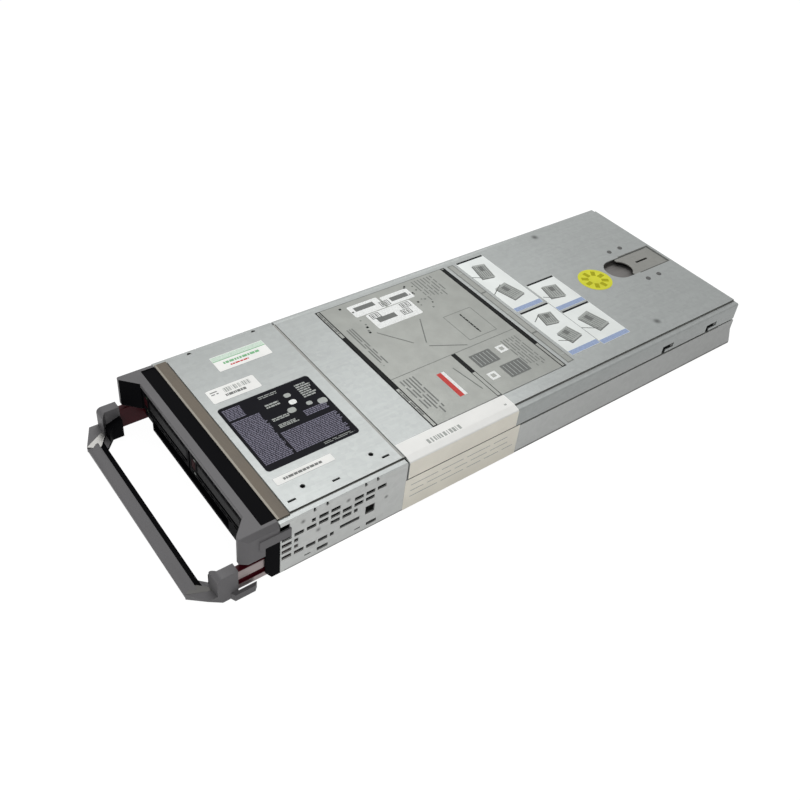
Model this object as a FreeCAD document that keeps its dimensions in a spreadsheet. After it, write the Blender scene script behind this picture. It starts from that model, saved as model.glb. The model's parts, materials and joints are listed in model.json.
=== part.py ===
import FreeCAD, Part
import math
import os
import re
import Sketcher

# Half-height blade server: steel tray, drive bays, sliding cover, pull-out handle and the boards inside.
# Millimetres. X across the body, Y from the front to the rear, Z up from the bottom face.

doc = FreeCAD.newDocument("blade_server")
dims = doc.addObject("Spreadsheet::Sheet", "dims")

SIZES = (
    ("lip_y", -216.0, "front lip of the steel body along Y"),
    ("body_wide", 189.0, "steel body across its sides"),
    ("body_tall", 50.8, "steel body from bottom to cover top"),
    ("sheet", 1.2, "sheet steel"),
    ("bend_r", 1.4, "outer bend of the sheet steel"),
    ("seat_gap", 0.4, "clearance between sheet pieces"),
    ("seam_gap", 1.2, "open seam between the front plate and the cover"),
    ("flange_gap", 1.3, "open seam under the cover's flange"),
    ("edge_step", 6.0, "lowered ledge along each top edge"),
    ("flange_wide", 12.5, "inward flange on the front part of the tray"),
    ("seam_tall", 31.6, "tray side wall under the cover's flange"),
    ("tail_reach", 8.0, "tray floor past the cover's rear edge"),
    ("tail_lip", 3.0, "tray side at the rear end of the floor"),
    ("tail_slope", 17.6, "slope from the rear lip up to the side wall"),
    ("tail_step", 1.5, "tray side wall past the cover's rear edge"),
    ("header_long", 12.0, "cross strip at the tray's front top"),
    ("gasket_long", 10.0, "shielding gasket along Y"),
    ("gasket_side", 4.6, "gasket end to the body's side"),
    ("gasket_bevel", 0.8, "slope of the gasket's long edges"),
    ("drive_wide", 69.85, "two and a half inch drive across"),
    ("drive_long", 100.2, "drive along Y"),
    ("drive_tall", 15.0, "drive height"),
    ("lid_inset", 2.0, "drive lid inside its casting's edge"),
    ("lid_tall", 0.8, "drive lid"),
    ("front_reach", 17.0, "carrier fronts ahead of the lip"),
    ("carrier_rail", 1.7, "carrier rail beside the drive"),
    ("carrier_lip", 1.9, "carrier front above and below the drive"),
    ("carrier_nose", 11.0, "carrier front along Y"),
    ("rail_short", 12.0, "carrier rail short of the drive's rear"),
    ("bay_drop", 4.4, "carrier top below the body's top"),
    ("bay_gap", 0.5, "clearance around a carrier"),
    ("mate_gap", 0.3, "drive to its connector"),
    ("plug_deep", 4.5, "backplane connector along Y"),
    ("plug_wide", 42.0, "backplane connector across"),
    ("plug_tall", 5.0, "backplane connector height"),
    ("board_thick", 1.6, "printed boards"),
    ("bay_margin", 3.0, "backplane to the front plate's rear edge"),
    ("recess_deep", 5.0, "lever recess in the carrier front"),
    ("recess_tall", 10.8, "lever recess height"),
    ("recess_right", 2.0, "recess to the carrier's right side"),
    ("recess_left", 9.6, "recess to the carrier's left side"),
    ("lever_tall", 8.0, "lever height"),
    ("lever_thick", 2.8, "lever blade along Y"),
    ("barrel_r", 2.0, "lever hinge barrel"),
    ("pin_r", 0.8, "lever hinge pin"),
    ("pin_play", 0.08, "lever bore around its pin"),
    ("lever_gap", 0.5, "clearance around the lever"),
    ("tip_long", 9.0, "bent finger tip of the lever"),
    ("button_wide", 5.4, "carrier release button across"),
    ("button_deep", 5.0, "carrier release button along Y"),
    ("button_room", 1.9, "free depth behind the release button"),
    ("button_gap", 0.3, "clearance around the release button"),
    ("button_side", 2.1, "release button to the carrier's left side"),
    ("louvre_wide", 6.0, "air slot in a carrier front"),
    ("louvre_tall", 1.5, "air slot height"),
    ("louvre_pitch", 8.4, "air slot spacing"),
    ("louvre_edge", 1.0, "air slot to the carrier's top or bottom"),
    ("frame_deep", 11.0, "front frame along Y"),
    ("frame_inset", 0.5, "front frame inside the body's side"),
    ("frame_drop", 0.6, "front frame below the body's top"),
    ("window_low", 3.0, "air window above the body's bottom"),
    ("window_rail", 2.0, "frame rail under the drive bays"),
    ("panel_wide", 31.0, "control panel beside the air window"),
    ("mesh_wide", 7.0, "air screen slot"),
    ("mesh_tall", 2.6, "air screen slot height"),
    ("mesh_pitch", 9.4, "air screen slot spacing across"),
    ("mesh_rise", 4.6, "air screen row spacing"),
    ("mesh_low", 2.8, "lowest air screen row above the window's edge"),
    ("mesh_side", 5.6, "first air screen slot inside the bay's side"),
    ("usb_wide", 13.2, "serial port shell across"),
    ("usb_tall", 5.8, "serial port shell height"),
    ("usb_wall", 0.4, "serial port shell sheet"),
    ("usb_tongue", 1.8, "serial port tongue"),
    ("usb_spread", 15.2, "distance between the two ports"),
    ("usb_rise", 17.6, "ports above the bottom"),
    ("key_r", 4.2, "power button radius"),
    ("key_gap", 0.3, "power button clearance"),
    ("key_collar", 1.2, "power button collar"),
    ("key_rise", 8.6, "power button above the bottom"),
    ("key_proud", 0.6, "power button ahead of the frame"),
    ("key_travel", 1.4, "power button travel"),
    ("strip_front", 17.5, "bezel strip ahead of the lip"),
    ("strip_tall", 3.5, "bezel strip"),
    ("bezel_front", 29.0, "bezel end blocks ahead of the lip"),
    ("block_tall", 24.8, "bezel end block height"),
    ("block_gap", 0.8, "end block to the drive bay"),
    ("block_wall", 2.6, "end block wall"),
    ("nose_wall", 3.6, "end block wall at its nose"),
    ("nose_in", 6.5, "end block nose inside the body's side"),
    ("nose_out", 3.5, "end block nose corner inside the body's side"),
    ("nose_back", 5.0, "end block nose corner along Y"),
    ("shoulder_in", 3.2, "slope on the end block's top edge"),
    ("wrap_in", 6.5, "bezel around the front frame's upper corner"),
    ("chin_tall", 8.0, "slope under the front frame's ends"),
    ("chin_deep", 5.0, "slope under the front frame's ends along Y"),
    ("ear_thick", 1.0, "bezel ear on the tray's side"),
    ("ear_long", 8.0, "bezel ear behind the lip"),
    ("ear_front", 16.0, "bezel ear's root ahead of the lip"),
    ("ear_low", 35.0, "bezel ear above the bottom"),
    ("ear_tall", 8.4, "bezel ear height"),
    ("notch_long", 7.0, "notch in the tray's side above the ear"),
    ("notch_tall", 4.0, "notch height"),
    ("handle_reach", 62.0, "handle ahead of the lip"),
    ("handle_travel", 16.0, "handle push-in travel"),
    ("arm_rear", 31.5, "handle arm's rear end ahead of the lip"),
    ("arm_wide", 7.5, "handle arm across"),
    ("corner_rear", 43.0, "handle corner's rear end ahead of the lip"),
    ("corner_step", 10.5, "handle corner's side along Y"),
    ("corner_in", 15.5, "handle corner across"),
    ("corner_lean", 37.0, "inward lean of the corner's underside in degrees"),
    ("ramp_low", 4.0, "corner ramp's inner end above the bottom"),
    ("ramp_tall", 9.5, "corner ramp's outer end above the bottom"),
    ("cap_front", 46.5, "handle cap ahead of the lip"),
    ("cap_gap", 0.7, "handle cap under the end block"),
    ("cap_round", 4.0, "handle cap's front edge"),
    ("grip_low", 0.4, "handle above the bottom face"),
    ("grip_front", 4.2, "grip's front edge above the bottom"),
    ("grip_rear", 5.8, "grip's rear edge above the bottom"),
    ("grip_wide", 8.5, "grip face along Y"),
    ("grip_round", 1.6, "grip's lower front edge"),
    ("grip_in", 20.5, "grip's inner corner inside the body's side"),
    ("liner_stop", 5.0, "handle liner to the front frame when pushed in"),
    ("liner_wide", 6.0, "handle liner across at the arm"),
    ("liner_tall", 18.6, "handle liner lug height"),
    ("liner_drop", 3.4, "handle liner's inner edge on the grip"),
    ("liner_grip", 4.5, "handle liner along Y on the grip"),
    ("liner_lug", 44.5, "liner lug's front ahead of the lip"),
    ("foot_out", 3.4, "handle foot outside the body's side"),
    ("foot_gap", 0.6, "handle foot to the body's side"),
    ("foot_rear", 18.4, "handle foot's rear end ahead of the lip"),
    ("foot_front", 39.0, "handle foot's root ahead of the lip"),
    ("foot_tall", 5.8, "handle foot height"),
    ("foot_round", 2.4, "handle foot's rear corner"),
    ("rail_in", 7.0, "slide rail's inner face inside the body's side"),
    ("rail_out", 2.0, "slide rail's outer face inside the body's side"),
    ("rail_low", 3.6, "slide rail above the bottom"),
    ("rail_drop", 3.4, "slide rail below the handle cap"),
    ("rail_rib", 5.2, "slide rail's lower rib"),
    ("rail_groove", 4.2, "groove between the rail's ribs"),
    ("rail_deep", 1.8, "groove depth"),
    ("rail_inside", 16.0, "slide rail behind the lip"),
    ("vent_first", 4.8, "first side vent column behind the lip"),
    ("vent_pitch", 9.65, "side vent columns"),
    ("vent_low", 15.0, "lowest side vent row"),
    ("vent_rise", 6.05, "side vent rows"),
    ("vent_wide", 7.6, "side vent slot"),
    ("vent_half", 3.2, "short side vent slot"),
    ("vent_tall", 3.4, "side vent slot height"),
    ("port_y", 73.0, "square side opening behind the lip"),
    ("port_z", 21.4, "square side opening above the bottom"),
    ("port_wide", 8.0, "square side opening"),
    ("slit_y", 56.0, "long side slit behind the lip"),
    ("slit_z", 17.5, "long side slit above the bottom"),
    ("slit_wide", 16.5, "long side slit"),
    ("slit_tall", 3.2, "long side slit height"),
    ("foot_slot_y", 75.2, "rear one of the lower side slots behind the lip"),
    ("foot_slot_z", 6.5, "lower side slots above the bottom"),
    ("foot_slot_wide", 9.0, "lower side slots"),
    ("foot_slot_pitch", 41.5, "distance between the lower side slots"),
    ("foot_slit_long", 5.0, "thin slit ahead of a lower side slot"),
    ("foot_slit_lead", 12.0, "thin slit's middle ahead of its slot"),
    ("bend_hole_r", 1.2, "tooling hole in the top bend"),
    ("bend_hole_pitch", 10.0, "tooling holes of one pair along Y"),
    ("bend_hole_lead", 2.4, "tooling holes ahead of the lower side slot"),
    ("hole_r", 1.8, "small hole in the top sheets"),
    ("hole_side", 20.8, "plate hole inside the body's side"),
    ("hole_front", 29.5, "front top hole behind the lip"),
    ("hole_rear", 86.0, "rear top hole behind the lip"),
    ("hole_edge", 4.5, "flange hole inside the body's side"),
    ("dash_wide", 1.6, "short slot in the front plate"),
    ("dash_long", 6.0, "short slot along Y"),
    ("dash_side", 13.8, "short slot inside the body's side"),
    ("dash_pitch", 35.2, "front short slot ahead of the middle one"),
    ("dash_far", 41.8, "rear short slot behind the middle one"),
    ("dash_mid", 52.0, "middle short slot behind the lip"),
    ("slide_travel", 10.0, "cover slide"),
    ("stud_r", 1.8, "cover guide stud"),
    ("stud_z", 38.0, "cover guide stud above the bottom"),
    ("stud_reach", 1.3, "cover guide stud length"),
    ("stud_front", 46.0, "first stud behind the front plate"),
    ("stud_rear", 30.0, "last stud ahead of the cover's rear edge"),
    ("stud_pitch", 60.5, "distance between the two rear studs"),
    ("slot_gap", 0.4, "cover slot around its stud"),
    ("latch_x", -1.4, "latch centre across"),
    ("latch_wide", 28.0, "latch window across"),
    ("latch_rear", 4.0, "latch window ahead of the cover's rear edge"),
    ("latch_long", 70.0, "latch window along Y"),
    ("latch_stop", 1.4, "latch plate to the window's round end when slid forwards"),
    ("latch_thick", 1.2, "latch plate sheet"),
    ("latch_sunk", 0.6, "latch plate below the cover's top"),
    ("latch_bite", 12.0, "finger cut-out in the latch plate"),
    ("latch_slot", 2.2, "guide slot in the latch plate"),
    ("latch_slot_long", 16.0, "guide slot along Y"),
    ("latch_slot_rear", 14.6, "guide slot ahead of the plate's rear edge"),
    ("slider_wide", 14.0, "latch slider across"),
    ("slider_long", 13.0, "latch slider along Y"),
    ("latch_travel", 8.0, "latch slide"),
    ("pan_sheet", 0.8, "latch pan sheet"),
    ("pan_deep", 4.4, "latch pan below the cover sheet"),
    ("pan_gap", 1.0, "latch pan around the window"),
    ("pan_flange", 15.0, "latch pan flange"),
    ("rivet_r", 2.4, "latch pan rivet head"),
    ("rivet_shank", 1.5, "latch pan rivet shank"),
    ("rivet_head", 0.4, "latch pan rivet head height"),
    ("rivet_inset", 11.1, "rivets outside the latch window"),
    ("rivet_pitch", 15.0, "rivets along Y"),
    ("rivet_rear", 30.8, "rear rivets ahead of the cover's rear edge"),
    ("board_side", 6.5, "system board inside the body's side"),
    ("board_inset", 2.0, "system board behind the front plate"),
    ("post_tall", 6.2, "board standoff"),
    ("post_r", 3.0, "board standoff radius"),
    ("post_in", 4.0, "standoff inside the board's edge"),
    ("screw_r", 1.5, "board screw shank"),
    ("screw_gap", 0.2, "board hole around its screw"),
    ("screw_head", 2.8, "board screw head radius"),
    ("screw_tall", 1.8, "board screw head height"),
    ("zone_front", 12.0, "heat sinks behind the board's front edge"),
    ("zone_gap", 13.0, "gap between the board's zones"),
    ("socket_wide", 46.0, "processor socket"),
    ("socket_tall", 4.0, "processor socket height"),
    ("chip_wide", 37.5, "processor"),
    ("chip_tall", 3.6, "processor height"),
    ("chip_lid", 30.0, "processor lid"),
    ("sink_wide", 78.0, "heat sink across"),
    ("sink_long", 92.0, "heat sink along Y"),
    ("sink_base", 4.0, "heat sink base"),
    ("sink_room", 4.0, "heat sink below the cover sheet"),
    ("fin_thick", 1.0, "heat sink fin"),
    ("fin_pitch", 5.5, "heat sink fin spacing"),
    ("clip_end", 4.3, "memory socket past its module's end"),
    ("clip_wide", 6.6, "memory socket across"),
    ("clip_tall", 8.0, "memory socket height"),
    ("clip_pitch", 9.6, "memory socket spacing"),
    ("clip_side", 11.0, "first memory socket inside the board's edge"),
    ("clip_slot", 4.5, "memory socket slot depth"),
    ("module_long", 133.35, "memory module along Y"),
    ("module_tall", 30.35, "memory module height"),
    ("module_thick", 1.3, "memory module board"),
    ("spreader_thick", 4.4, "memory module with its heat spreader"),
    ("spreader_rise", 5.0, "heat spreader above the module's foot"),
    ("spreader_drop", 1.2, "heat spreader below the module's top"),
    ("module_play", 0.1, "memory module in its slot"),
    ("hub_wide", 40.0, "chip set heat sink"),
    ("hub_tall", 14.0, "chip set heat sink height"),
    ("hub_base", 4.6, "chip set heat sink base"),
    ("hub_fin", 2.0, "chip set heat sink fin"),
    ("card_wide", 36.0, "storage card across"),
    ("card_long", 64.0, "storage card along Y"),
    ("card_rise", 5.0, "storage card above the board"),
    ("card_plug_wide", 29.0, "storage card connector across"),
    ("card_plug_long", 8.0, "storage card connector along Y"),
    ("card_chip", 18.0, "storage controller chip"),
    ("cell_r", 10.0, "coin cell radius"),
    ("cell_tall", 3.2, "coin cell height"),
    ("cell_play", 0.2, "coin cell in its holder"),
    ("cell_wall", 1.4, "coin cell holder wall"),
    ("mezz_wide", 76.0, "mezzanine card across"),
    ("mezz_long", 84.0, "mezzanine card along Y"),
    ("mezz_rise", 14.0, "mezzanine connector height"),
    ("mezz_plug_wide", 60.0, "mezzanine connector across"),
    ("mezz_plug_long", 9.0, "mezzanine connector along Y"),
    ("mezz_plug_in", 10.5, "mezzanine connector's middle inside the card's end"),
    ("mezz_chip", 24.0, "mezzanine controller chip"),
    ("mezz_chip_tall", 4.0, "mezzanine controller chip height"),
    ("mezz_chip_in", 28.0, "mezzanine chip's middle behind the card's front"),
    ("tail_gap", 4.0, "mezzanine cards to the rear connectors"),
    ("tail_deep", 28.0, "rear connectors along Y"),
    ("tail_over", 14.0, "system board short of the rear end"),
    ("link_wide", 46.0, "rear signal connector across"),
    ("link_tall", 24.0, "rear signal connector height"),
    ("link_gap", 3.0, "rear signal connector to the guide bush"),
    ("link_slot", 2.4, "contact slot"),
    ("link_pitch", 5.2, "contact slot spacing"),
    ("link_deep", 9.0, "contact slot depth"),
    ("feed_wide", 30.0, "rear power connector across"),
    ("feed_tall", 16.0, "rear power connector height"),
    ("feed_slot", 3.0, "power blade slot"),
    ("feed_slot_tall", 9.6, "power blade slot height"),
    ("feed_pitch", 7.0, "power blade slot spacing"),
    ("bush_wide", 11.0, "guide bush"),
    ("bush_r", 3.2, "guide bush bore radius"),
    ("bush_deep", 16.0, "guide bush bore length"),
    ("bush_in", 5.8, "guide bush inside the board's edge"),
)
for row, (alias, value, note) in enumerate(SIZES, start=1):
    dims.set(f"A{row}", note)
    dims.set(f"B{row}", str(value))
    dims.setAlias(f"B{row}", alias)
doc.recompute()

parts = []


def ex(text):
    """Expression that reads each named size from the sheet."""
    return re.sub(r"[a-z][a-z_]+", r"dims.\g<0>", text)


def size(alias):
    return float(dims.get(alias))


def part(shape, label):
    """Keep an object as a sub-part under its own name."""
    shape.Label = label
    parts.append(shape)
    return shape


def block(x, y, z):
    """Box between two expressions along each axis."""
    box = doc.addObject("Part::Box", "block")
    spans = (("Length", "x", x), ("Width", "y", y), ("Height", "z", z))
    for prop, axis, (low, high) in spans:
        box.setExpression(prop, ex(f"({high}) - ({low})"))
        box.setExpression(f"Placement.Base.{axis}", ex(low))
    return box


def around(centre, wide):
    """Pair of expressions for a span centred on one place."""
    return (f"{centre} - ({wide}) / 2", f"{centre} + ({wide}) / 2")


TURNS = {
    "x": FreeCAD.Rotation(FreeCAD.Vector(0, 1, 0), 90),
    "y": FreeCAD.Rotation(FreeCAD.Vector(1, 0, 0), -90),
    "z": FreeCAD.Rotation(),
}


def lay_along(solid, axis, start, length):
    """Lay an upright solid along one axis, from a start point given as three expressions."""
    solid.Placement = FreeCAD.Placement(FreeCAD.Vector(), TURNS[axis])
    solid.setExpression("Height", ex(length))
    for name, place in zip("xyz", start):
        solid.setExpression(f"Placement.Base.{name}", ex(place))
    return solid


def rod(axis, radius, start, length):
    cylinder = doc.addObject("Part::Cylinder", "rod")
    cylinder.setExpression("Radius", ex(radius))
    return lay_along(cylinder, axis, start, length)


HEXAGON = 6
PIN_SIDES = 12


def peg(axis, radius, start, length, sides=PIN_SIDES):
    """Many-sided rod for the small repeated fasteners and the holes that they pass."""
    prism = doc.addObject("Part::Prism", "peg")
    prism.Polygon = sides
    prism.setExpression("Circumradius", ex(radius))
    return lay_along(prism, axis, start, length)


def group(solids):
    compound = doc.addObject("Part::Compound", "group")
    compound.Links = solids
    return compound


def fuse(solids):
    union = doc.addObject("Part::MultiFuse", "fuse")
    union.Shapes = solids
    union.Refine = True
    return union


def cut(base, tools):
    rest = doc.addObject("Part::Cut", "cut")
    rest.Base = base
    rest.Tool = tools[0] if len(tools) == 1 else group(tools)
    return rest


def new_body(name):
    """Body whose own zero is the middle of the front lip."""
    body = doc.addObject("PartDesign::Body", name)
    body.setExpression("Placement.Base.y", ex("lip_y"))
    return body


def outline(body, role, loops, offset="0"):
    """Sketch of closed polygons, each corner held by two dimensions from the sketch's zero."""
    sketch = body.newObject("Sketcher::SketchObject", "outline")
    plane = [feature for feature in body.Origin.OriginFeatures if feature.Role == role]
    sketch.AttachmentSupport = [(plane[0], "")]
    sketch.MapMode = "FlatFace"
    sketch.setExpression("AttachmentOffset.Base.z", ex(offset))
    for points in loops:
        first = sketch.GeometryCount
        count = len(points)
        turn = 2 * math.pi / count
        ring = [FreeCAD.Vector(math.cos(turn * i), math.sin(turn * i), 0) for i in range(count)]
        sketch.addGeometry([Part.LineSegment(ring[i], ring[(i + 1) % count]) for i in range(count)])
        joins = []
        for i in range(count):
            joins.append(Sketcher.Constraint("Coincident", first + i, 2, first + (i + 1) % count, 1))
        sketch.addConstraint(joins)
        places = []
        for i in range(count):
            places.append(Sketcher.Constraint("DistanceX", -1, 1, first + i, 1, ring[i].x))
            places.append(Sketcher.Constraint("DistanceY", -1, 1, first + i, 1, ring[i].y))
        numbers = sketch.addConstraint(places)
        texts = [text for point in points for text in point]
        for number, text in zip(numbers, texts):
            sketch.setExpression(f"Constraints[{number}]", ex(text))
    return sketch


def pad(body, sketch, length, reverse=False, middle=False):
    feature = body.newObject("PartDesign::Pad", "pad")
    feature.Profile = sketch
    feature.setExpression("Length", ex(length))
    feature.Reversed = reverse
    feature.Midplane = middle
    return feature


def pocket(body, sketch, length, reverse=False, middle=False):
    """Pocket that has to take material away."""
    doc.recompute()
    before = body.Shape.Volume
    feature = body.newObject("PartDesign::Pocket", "pocket")
    feature.Profile = sketch
    feature.setExpression("Length", ex(length))
    feature.Reversed = reverse
    feature.Midplane = middle
    doc.recompute()
    if body.Shape.Volume >= before:
        raise RuntimeError(f"a pocket of {body.Name} cut nothing")
    return feature


def round_edges(body, feature, radius, wanted):
    """Fillet on the edges whose middle passes a test."""
    doc.recompute()
    names = []
    for number, edge in enumerate(feature.Shape.Edges, start=1):
        middle = edge.valueAt((edge.FirstParameter + edge.LastParameter) / 2)
        if wanted(middle):
            names.append(f"Edge{number}")
    fillet = body.newObject("PartDesign::Fillet", "round")
    fillet.Base = (feature, names)
    fillet.setExpression("Radius", ex(radius))
    return fillet


def rectangle(x, z):
    return [(x[0], z[0]), (x[1], z[0]), (x[1], z[1]), (x[0], z[1])]


def both_sides(right):
    """Outline of a symmetric section from the points of its right half."""
    left = [(f"-({x})", z) for x, z in reversed(right)]
    return list(right) + left


def mirrored(points):
    return [(f"-({x})", z) for x, z in points]


# Places worked out from the sizes: X from the middle, Y from the lip, Z from the bottom

HALF = "body_wide / 2"
SHEET_TOP = "(body_tall - sheet)"
WALL_TOP = "(body_tall - 2 * sheet - seat_gap)"
CARRIER_WIDE = "(drive_wide + 2 * carrier_rail)"
CARRIER_TOP = "(body_tall - bay_drop)"
CARRIER_LOW = "(body_tall - bay_drop - drive_tall - 2 * carrier_lip)"
CARRIER_MID = f"({CARRIER_LOW} + drive_tall / 2 + carrier_lip)"
BAY_FLOOR = f"({CARRIER_LOW} - bay_gap)"
BAY_X = f"({CARRIER_WIDE} / 2 + bay_gap + sheet / 2)"
BAY_SIDE = f"({BAY_X} + {CARRIER_WIDE} / 2 + bay_gap)"
DRIVE_FRONT = "(carrier_nose + seat_gap - front_reach)"
DRIVE_REAR = f"({DRIVE_FRONT} + drive_long)"
BACKPLANE = f"({DRIVE_REAR} + mate_gap + plug_deep)"
CAGE_REAR = f"({BACKPLANE} + board_thick)"
PLATE_REAR = f"({CAGE_REAR} + bay_margin)"
BOARD_FRONT = f"({PLATE_REAR} + board_inset)"
SINK_FRONT = f"({BOARD_FRONT} + zone_front)"
MEMORY_FRONT = f"({SINK_FRONT} + sink_long + zone_gap)"
CLIP_LONG = "(module_long + 2 * clip_end)"
MEZZ_FRONT = f"({MEMORY_FRONT} + {CLIP_LONG} + zone_gap)"
TAIL_FRONT = f"({MEZZ_FRONT} + mezz_long + tail_gap)"
TRAY_REAR = f"({TAIL_FRONT} + tail_deep)"
COVER_REAR = f"({TRAY_REAR} - tail_reach)"
COVER_FRONT = f"({PLATE_REAR} + seam_gap)"
BOARD_LOW = "(sheet + post_tall)"
BOARD_TOP = "(sheet + post_tall + board_thick)"
BOARD_HALF = f"({HALF} - board_side)"
BOARD_REAR = f"({TRAY_REAR} - tail_over)"
BLOCK_LOW = "(body_tall - block_tall)"
CAP_TOP = f"({BLOCK_LOW} - cap_gap)"
RAIL_TOP = f"({CAP_TOP} - rail_drop)"
FRAME_HALF = f"({HALF} - frame_inset)"
WINDOW_TOP = f"({BAY_FLOOR} - sheet - window_rail)"
PANEL_LEFT = f"({BAY_SIDE} - panel_wide)"


def along(place):
    """Place along Y in the part's frame."""
    return f"lip_y + {place}"


def span(low, high):
    return (along(low), along(high))


# Steel shell


def chassis_tray():
    body = new_body("tray_sheet")
    front = [
        (HALF, "0"),
        (HALF, SHEET_TOP),
        (f"{HALF} - flange_wide", SHEET_TOP),
        (f"{HALF} - flange_wide", f"{SHEET_TOP} - sheet"),
        (f"{HALF} - sheet", f"{SHEET_TOP} - sheet"),
        (f"{HALF} - sheet", "sheet"),
    ]
    pad(body, outline(body, "XZ_Plane", [both_sides(front)]), PLATE_REAR, reverse=True)
    inner = f"{HALF} - sheet - seat_gap"
    rear = [
        (HALF, "0"),
        (HALF, "seam_tall"),
        (inner, "seam_tall"),
        (inner, WALL_TOP),
        (f"{inner} - sheet", WALL_TOP),
        (f"{inner} - sheet", "seam_tall - sheet"),
        (f"{HALF} - sheet", "seam_tall - sheet"),
        (f"{HALF} - sheet", "sheet"),
    ]
    rear_sketch = outline(body, "XZ_Plane", [both_sides(rear)], offset=f"-{PLATE_REAR}")
    pad(body, rear_sketch, f"{TRAY_REAR} - {PLATE_REAR}", reverse=True)
    behind = f"{TRAY_REAR} + sheet"
    wall_rear = f"{COVER_REAR} + tail_step"
    tail = [
        (behind, "tail_lip"),
        (TRAY_REAR, "tail_lip"),
        (wall_rear, "tail_lip + tail_slope"),
        (wall_rear, "seam_tall - sheet"),
        (COVER_REAR, "seam_tall"),
        (COVER_REAR, "body_tall"),
        (behind, "body_tall"),
    ]
    pocket(body, outline(body, "YZ_Plane", [tail]), "2 * body_wide", middle=True)
    header = [(f"{HALF} - flange_wide", f"{SHEET_TOP} - sheet"), (f"{HALF} - flange_wide", SHEET_TOP)]
    strip = pad(body, outline(body, "XZ_Plane", [both_sides(header)]), "header_long", reverse=True)
    round_edges(body, strip, "bend_r", is_tray_bend)
    return part(cut(body, side_vents() + ear_notches() + bend_holes() + flange_holes()), "chassis_tray")


def is_tray_bend(middle):
    """Outer edges along the tray's floor and along the top of its vented front."""
    near = size("seat_gap") / 2
    at_side = abs(abs(middle.x) - size("body_wide") / 2) < near
    at_top = abs(middle.z - size("body_tall") + size("sheet")) < near
    return at_side and (abs(middle.z) < near or at_top) and middle.y > near


VENT_ROWS = ((0, 1, 2, 3), (0,), (0, 4, 5), (0, 1, 2, 3, 4, 5, 6, 7), (3, 4, 6, 7, 8))
SHORT_VENTS = ((0, 4), (1, 1), (2, 1), (2, 6), (4, 2.4))
FOOT_SLOTS = ("foot_slot_y", "foot_slot_y - foot_slot_pitch")


def side_vents():
    """Cutters for the air slots, which go through both side walls."""
    through = around("0", "body_wide + 2 * sheet")
    tools = []
    for row, columns in enumerate(VENT_ROWS):
        tall = around(f"vent_low + {row} * vent_rise", "vent_tall")
        for column in columns:
            middle = along(f"vent_first + {column} * vent_pitch")
            tools.append(block(through, around(middle, "vent_wide"), tall))
    for row, column in SHORT_VENTS:
        tall = around(f"vent_low + {row} * vent_rise", "vent_tall")
        start = along(f"vent_first + {column} * vent_pitch - vent_wide / 2")
        tools.append(block(through, (start, f"{start} + vent_half"), tall))
    tools.append(block(through, around(along("port_y"), "port_wide"), around("port_z", "port_wide")))
    tools.append(block(through, around(along("slit_y"), "slit_wide"), around("slit_z", "slit_tall")))
    low_slot = around("foot_slot_z", "slit_tall")
    for place in FOOT_SLOTS:
        tools.append(block(through, around(along(place), "foot_slot_wide"), low_slot))
        slit = around(along(f"{place} - foot_slit_lead"), "foot_slit_long")
        tools.append(block(through, slit, around("foot_slot_z", "sheet")))
    return tools


def ear_notches():
    """Cutter for the open notch above the bezel's ear on both side walls."""
    low = "ear_low + ear_tall - sheet"
    tall = (low, f"{low} + sheet + notch_tall")
    return [block(around("0", "body_wide + 2 * sheet"), span("-sheet", "notch_long"), tall)]


def bend_holes():
    """Cutters for the pairs of tooling holes in the bend of each side's top edge."""
    tools = []
    for place in FOOT_SLOTS:
        for step in ("-", "+"):
            y = along(f"{place} - bend_hole_lead {step} bend_hole_pitch / 2")
            for start in (f"{HALF} - 2 * sheet", f"-{HALF} - sheet"):
                tools.append(peg("x", "bend_hole_r", (start, y, f"{SHEET_TOP} - sheet"), "3 * sheet"))
    return tools


def flange_holes():
    tools = []
    for place in ("hole_front", "hole_rear"):
        start = (f"hole_edge - {HALF}", along(place), f"{SHEET_TOP} - 2 * sheet")
        tools.append(peg("z", "hole_r", start, "3 * sheet"))
    return tools


def front_plate():
    wide = around("0", "body_wide - 2 * edge_step")
    plate = block(wide, span("gasket_long + seat_gap", PLATE_REAR), (SHEET_TOP, "body_tall"))
    tools = []
    for place in ("hole_front", "hole_rear"):
        start = (f"{HALF} - hole_side", along(place), f"{SHEET_TOP} - sheet")
        tools.append(peg("z", "hole_r", start, "3 * sheet"))
    deep = (f"{SHEET_TOP} - sheet", "body_tall + sheet")
    for place in ("dash_mid - dash_pitch", "dash_mid", "dash_mid + dash_far"):
        length = around(along(place), "dash_long")
        tools.append(block(around(f"{HALF} - dash_side", "dash_wide"), length, deep))
    return part(cut(plate, tools), "front_plate")


def gasket_strip():
    body = new_body("gasket_section")
    section = [
        ("seat_gap", SHEET_TOP),
        ("gasket_long", SHEET_TOP),
        ("gasket_long - gasket_bevel", "body_tall"),
        ("seat_gap + gasket_bevel", "body_tall"),
    ]
    pad(body, outline(body, "YZ_Plane", [section]), "body_wide - 2 * gasket_side", middle=True)
    return part(body, "gasket_strip")


def top_cover():
    body = new_body("cover_sheet")
    ledge = f"{HALF} - edge_step"
    flange_low = "seam_tall + flange_gap"
    right = [
        (ledge, "body_tall"),
        (ledge, SHEET_TOP),
        (HALF, SHEET_TOP),
        (HALF, flange_low),
        (f"{HALF} - sheet", flange_low),
        (f"{HALF} - sheet", f"{SHEET_TOP} - sheet"),
        (f"{ledge} - sheet", f"{SHEET_TOP} - sheet"),
        (f"{ledge} - sheet", SHEET_TOP),
    ]
    sketch = outline(body, "XZ_Plane", [both_sides(right)], offset=f"-{COVER_FRONT}")
    folded = pad(body, sketch, f"{COVER_REAR} - {COVER_FRONT}", reverse=True)
    round_edges(body, folded, "bend_r", is_cover_bend)
    return part(cut(body, latch_window() + stud_slots() + rivet_holes()), "top_cover")


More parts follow.
